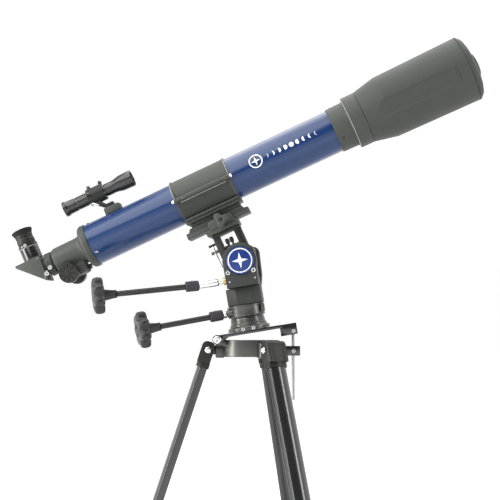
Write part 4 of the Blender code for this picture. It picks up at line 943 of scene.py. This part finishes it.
# ---- focuser, diagonal, eyepiece ----
def build_focuser():
    shell = lathe(mm(
        (38.4, -232.5), (38.4, -241.3), (41.2, -241.3), (41.8, -242.5), (41.8, -250), (40.5, -253.5),
        (37.5, -256.2), (31, -258), (27.8, -260), (26.2, -264), (25.4, -270), (24.9, -312), (24, -316.5),
        (22.2, -319), (19.4, -319), (19.4, -260), (30, -255), (34, -250), (34, -232.5),
    ), 128, closed=True, soft=0.0006)
    low = mm((-316.5, -20), (-316.5, -38.5), (-312, -43), (-270, -43), (-266, -40), (-266, -20))
    parts = [
        (lay(shell, "X"), GREY),
        *both_sides(GREY, low, 0.0046, 0.015, 0.0012),
        (box(*mm((-316, -6, -43), (-266.2, 6, -40.5)), 0.0004), GREY),
    ]
    piece("focuser", TUBE, "tube", parts, ["focuser_housing"])

    def petals(radius, height, angle):
        return radius - (0.0006 * (0.5 - 0.5 * math.cos(36 * angle)) if radius > 0.0165 else 0)

    wheel = mm(
        (0, 35.5), (5, 35.5), (6, 34.5), (16, 34.5), (17.2, 35.5), (18.5, 35.2), (19, 33.5), (19, 23),
        (17.8, 20.7), (6, 20.5), (6, 15.5), (3, 15.5), (3, 0),
    )
    where = TUBE @ at(PINION[0], 0, PINION[1])
    near = lay(lathe(wheel, 144, soft=0.0003, shape=petals), "NEAR")
    far = ([(x, -y, z) for x, y, z in near[0]], near[1])
    parts = [(near, BLACK), (far, BLACK)]
    blade = mm((5.5, -0.6), (15.5, -2), (16, 1.2), (6, 1))
    fin = prism(blade, 0.0343, 0.0354, 0.0002)
    for side in (-1, 1):
        for k in range(9):
            parts.append((moved(fin, about("X", 90 * side) @ about("Z", 360 / 9 * k)), BLACK_GLOSS))
    pinion = lathe(
        mm((3, 5.4), (6.6, 5), (6.6, -5), (3, -5.4)), 120, closed=True, soft=0.0002, shape=ribs(12, 0.0014, -1, 1)
    )
    parts.append((lay(pinion, "NEAR"), STEEL))
    piece("focus_wheels", where, "focus_knobs", parts, ["focus_knobs"])

    lock = lathe(mm(
        (0, -259.6), (4.4, -259.6), (5, -260.2), (5, -263.4), (2.5, -264), (2.5, -265.7), (0, -265.7),
    ), 48, soft=0.0002, shape=ribs(16, 0.0004, -0.2632, -0.26))
    piece("focus_lock", TUBE @ at(0, 0, -0.0355), "focus_lock", [(lay(lock, "X"), BLACK)], ["focus_lock_screw"])

    tube = hoop(0.019, 0.017, -0.32, -0.215)
    grip = lathe(mm(
        (21.6, -321.8), (22.5, -322.4), (22.7, -333.6), (21.8, -334.9), (17, -334.9), (17, -319), (19, -319),
        (19, -321.8),
    ), 120, closed=True, soft=0.0004, shape=ribs(40, 0.0006, -0.3332, -0.3228))
    rack = [(box(*mm((-318, -3.8, -23.8), (-218, 3.8, -18)), 0.0002), STEEL)]
    rack += [
        (box((-0.317 + 0.0022 * k, -0.0037, -0.0262), (-0.3159 + 0.0022 * k, 0.0037, -0.0235), 0.0001), STEEL)
        for k in range(45)
    ]
    piece("draw", TUBE, "drawtube", [(lay(tube, "X"), CHROME), (lay(grip, "X"), GREY_DARK)] + rack, ["drawtube"])
    grip_screw = facing_screws([(0.0042, 0.0016, 0.3, -0.329, -0.0222, -0.008)])
    piece("draw_screw", TUBE, "drawtube", grip_screw)


def build_diagonal():
    outline = mm((-392, 19), (-390.5, 22.5), (-341, 22.5), (-341, -27.7), (-345, -27.7))
    nose = lathe(mm(
        (16.3, -344), (16.3, -335.4), (15.7, -335), (15.7, -319.7), (14, -319.5), (14, -344),
    ), 96, closed=True, soft=0.0004)
    parts = [(prism(outline, -0.019, 0.019, 0.0012, "XZ"), GREY), (lay(nose, "X"), BLACK)]
    holder = lathe(mm(
        (17.6, 53.2), (18.8, 52.8), (19, 48.5), (18, 47.2), (18, 45.5), (18.3, 44.5), (18.5, 23.2),
        (19, 22.6), (16.2, 22.2), (16.2, 53.2),
    ), 144, closed=True, soft=0.0004, shape=ribs(36, 0.0007, 0.024, 0.044))
    tip = at(EYEPIECE_AT, 0, 0)
    band = hoop(0.0186, 0.0176, 0.0459, 0.047, soft=0.0001)
    parts += [(moved(holder, tip), BLACK_GLOSS), (moved(band, tip), PALE_GREY_AND_HIGHLIGHT)]
    piece("prism_body", TUBE, "diagonal", parts, ["diagonal_housing"])
    screws = facing_screws([
        (0.003, 0.0034, 0.3, EYEPIECE_AT, -0.0186, 0.0505),
        (0.0048, 0.003, 0.25, -0.3395, -0.019, -0.015),
    ])
    grubs = [(0.0016, 0.0004, 0.45, -0.346, -0.019, z) for z in (0.018, -0.021)]
    screws += facing_screws(grubs, STEEL)
    piece("prism_screws", TUBE, "diagonal", screws)

    barrel = lathe(mm(
        (0, 77.2), (6.8, 77.2), (9, 80), (9.2, 81.2), (11, 80.6), (16.5, 74.5), (17, 73), (17, 70),
        (16.4, 69.2), (16.4, 64), (17.2, 63), (17.2, 56), (16.6, 54.2), (15.7, 53.8), (15.7, 25), (12, 25),
        (12, 30), (0, 30),
    ), 144, soft=0.0004, shape=ribs(48, 0.0005, 0.0568, 0.0625))
    cup = lathe(mm(
        (10, 81.2), (10.5, 83.5), (16.8, 83.8), (19.7, 82.6), (20.1, 80.6), (19.2, 78.6), (17.8, 75.2),
        (17.2, 73.6), (15, 73.6), (15, 79),
    ), 96, closed=True, soft=0.0006)
    eye = lathe(mm((0, 78.2), (4, 77.9), (6.6, 77.2), (6.6, 76.8), (0, 76.8)), 48, soft=0)
    parts = [(barrel, BLACK), (cup, RUBBER), (eye, GLASS)]
    piece("ocular", TUBE @ at(EYEPIECE_AT, 0, 0), "eyepiece", parts, ["eyepiece"])


def build_finder():
    where = TUBE @ at(FINDER_AT[0], 0, FINDER_AT[1])
    scope = lathe(mm(
        (0, -123), (13.8, -123), (14, -115.3), (15.8, -115), (16, -116), (15.9, -125), (15.5, -139),
        (14.2, -145), (12.8, -150), (12, -157), (12.4, -160), (12.4, -170), (11.8, -171.2), (11.8, -173),
        (12.6, -174), (12.6, -230), (12.2, -231), (12.2, -233), (13, -234), (13.2, -249), (13.8, -251.5),
        (15, -253), (15, -258.5), (14, -259), (9, -259), (8, -255), (0, -255),
    ), 96, soft=0.0004, shape=ribs(30, 0.0004, -0.248, -0.2345))
    lens = lathe(mm((0, -121.2), (8, -122), (13.6, -123.2), (0, -123.3)), 64, soft=0)
    piece("finder_tube", where, "tube", [(lay(scope, "X"), BLACK_GLOSS), (lay(lens, "X"), GLASS)], ["finder_scope"])
    ring = lathe(mm(
        (16.5, -174.5), (16.5, -207.5), (15, -208), (13.2, -208), (13.2, -174), (15, -174),
    ), 96, closed=True, soft=0.0005)
    arm = mm((-206, -13), (-201, -19), (-187, -33), (-167, -33), (-167, -25), (-180, -25), (-190, -13))
    strip = mm((-208.5, -12.5), (-205, -10), (-183.5, -30.5), (-186.8, -33.5))
    foot = mm((-189, -45), (-157, -45), (-157, -33), (-160, -32), (-188.5, -32))
    parts = [
        (lay(ring, "X"), BLACK),
        (prism(arm, -0.0088, 0.0088, 0.0007, "XZ"), BLACK),
        (prism(strip, -0.0102, -0.0086, 0.0003, "XZ"), CHROME),
        (prism(foot, -0.012, 0.012, 0.0009, "XZ"), GREY),
    ]
    piece("finder_stand", where, "tube", parts, ["finder_bracket"])
    thumb = lathe(mm((0, 13), (3, 12.6), (4, 11), (4, 7), (3, 5.6), (1.4, 5), (1.4, -2), (0, -2)), 40, soft=0.0006)
    screws = []
    for s, turn in ((-0.203, 60), (-0.203, 175), (-0.179, 60)):
        lean = at(s, 0, 0) @ about("X", turn) @ about("X", -90) @ at(0, 0, 0.015)
        screws.append((moved(thumb, lean), BLACK_GLOSS))
    piece("finder_screws", where, "tube", screws)

    tube_screws = []
    for s, turn, finish in ((-0.233, 212, CHROME), (-0.233, 100, BLACK), (-0.233, -20, CHROME)):
        lean = at(s, 0, 0) @ about("X", turn - 90) @ at(0, 0, 0.0399)
        tube_screws += placed(cap_screw(0.0026, 0.0012, finish, 0.5), lean)
    for turn in (95, 215, 335):
        lean = at(0.27, 0, 0) @ about("X", turn - 90) @ at(0, 0, 0.0422)
        tube_screws += placed(cap_screw(0.0018, 0.0008, BLACK, 0.5), lean)
    piece("tube_screws", TUBE, "tube", tube_screws)


# ---- room and light ----
def build_room():
    mesh = bpy.data.meshes.new("floor")
    count = 96
    verts = []
    for radius, z in ((FLOOR_RADIUS, 0), (RIM_RADIUS, RIM_HEIGHT)):
        verts += [(radius * math.cos(TAU * k / count), radius * math.sin(TAU * k / count), z) for k in range(count)]
    rim = [[k, (k + 1) % count, count + (k + 1) % count, count + k] for k in range(count)]
    mesh.from_pydata(verts, [], [list(range(count))] + rim)
    floor = bpy.data.objects.new("floor", mesh)
    SCENE.collection.objects.link(floor)
    paint = look("floor", (0.72, 0.72, 0.72), 0.9, specular=0.1, grain=0.01, scale=3)
    nodes, links = paint.node_tree.nodes, paint.node_tree.links
    shader = nodes["Principled BSDF"]
    shader.inputs["Emission Color"].default_value = (1, 1, 1, 1)
    where = nodes.new("ShaderNodeTexCoord")
    distance = nodes.new("ShaderNodeVectorMath")
    distance.operation = "LENGTH"
    glow = fade(nodes, 1.2, 2.4, 0.0, 0.75)
    links.new(where.outputs["Object"], distance.inputs[0])
    links.new(distance.outputs["Value"], glow.inputs["Value"])
    links.new(glow.outputs["Result"], shader.inputs["Emission Strength"])
    mesh.materials.append(paint)

    world = bpy.data.worlds.new("world")
    world.use_nodes = True
    SCENE.world = world
    nodes, links = world.node_tree.nodes, world.node_tree.links
    sky = nodes["Background"]
    where = nodes.new("ShaderNodeTexCoord")
    split = nodes.new("ShaderNodeSeparateXYZ")
    links.new(where.outputs["Generated"], split.inputs["Vector"])
    product = nodes.new("ShaderNodeMath")
    product.operation = "MULTIPLY"
    for k, (axis, *span) in enumerate((("Z", 0.32, 0.6, 1.0, 0.6), ("Y", -0.5, 0.12, 0.07, 1.0))):
        dimmer = fade(nodes, *span)
        links.new(split.outputs[axis], dimmer.inputs["Value"])
        links.new(dimmer.outputs["Result"], product.inputs[k])
    links.new(product.outputs["Value"], sky.inputs["Strength"])
    sky.inputs["Color"].default_value = (1.05, 1.05, 1.05, 1)


def build_lights():
    """Soft boxes: name, place from the tripod's axis, height aimed at, size, power."""
    for name, location, level, size, power in (
        ("key", (-1.6, -1.6, 2.4), 0.3, (3.2, 3.2), 100),
        ("top", (0.3, 0.6, 2.8), 0.3, (4.0, 3.0), 90),
        ("left_strip", (-2.2, -0.6, 0.2), 0.1, (0.7, 2.0), 45),
        ("right_strip", (2.2, -1.0, 0.8), 0.2, (0.5, 1.8), 20),
    ):
        lamp = bpy.data.lights.new(name, "AREA")
        lamp.shape = "RECTANGLE"
        lamp.size, lamp.size_y = size
        lamp.energy = power
        obj = bpy.data.objects.new(name, lamp)
        obj.location = AXIS + Vector(location)
        aim = Vector((0, 0, level)) - Vector(location)
        obj.rotation_euler = aim.to_track_quat("-Z", "Y").to_euler()
        SCENE.collection.objects.link(obj)


build_tripod_head()
for i, leg in enumerate(LEG_PLACES, 1):
    build_leg(i, leg)
build_tray()
build_wedge()
build_base()
build_mount()
build_worm("azimuth", 0.007, (-0.0335, -0.0405), 0.0038, (-0.01, 0.01), AZIMUTH_WORM)
build_worm("altitude", 0.0072, (-0.038, -0.074), 0.0045, (-0.014, 0.022), ALTITUDE_WORM)
build_controls()
build_altitude_moving()
build_tube()
build_marks()
build_cradle()
build_focuser()
build_diagonal()
build_finder()
build_room()
build_lights()
SCENE.view_settings.view_transform = "Standard"
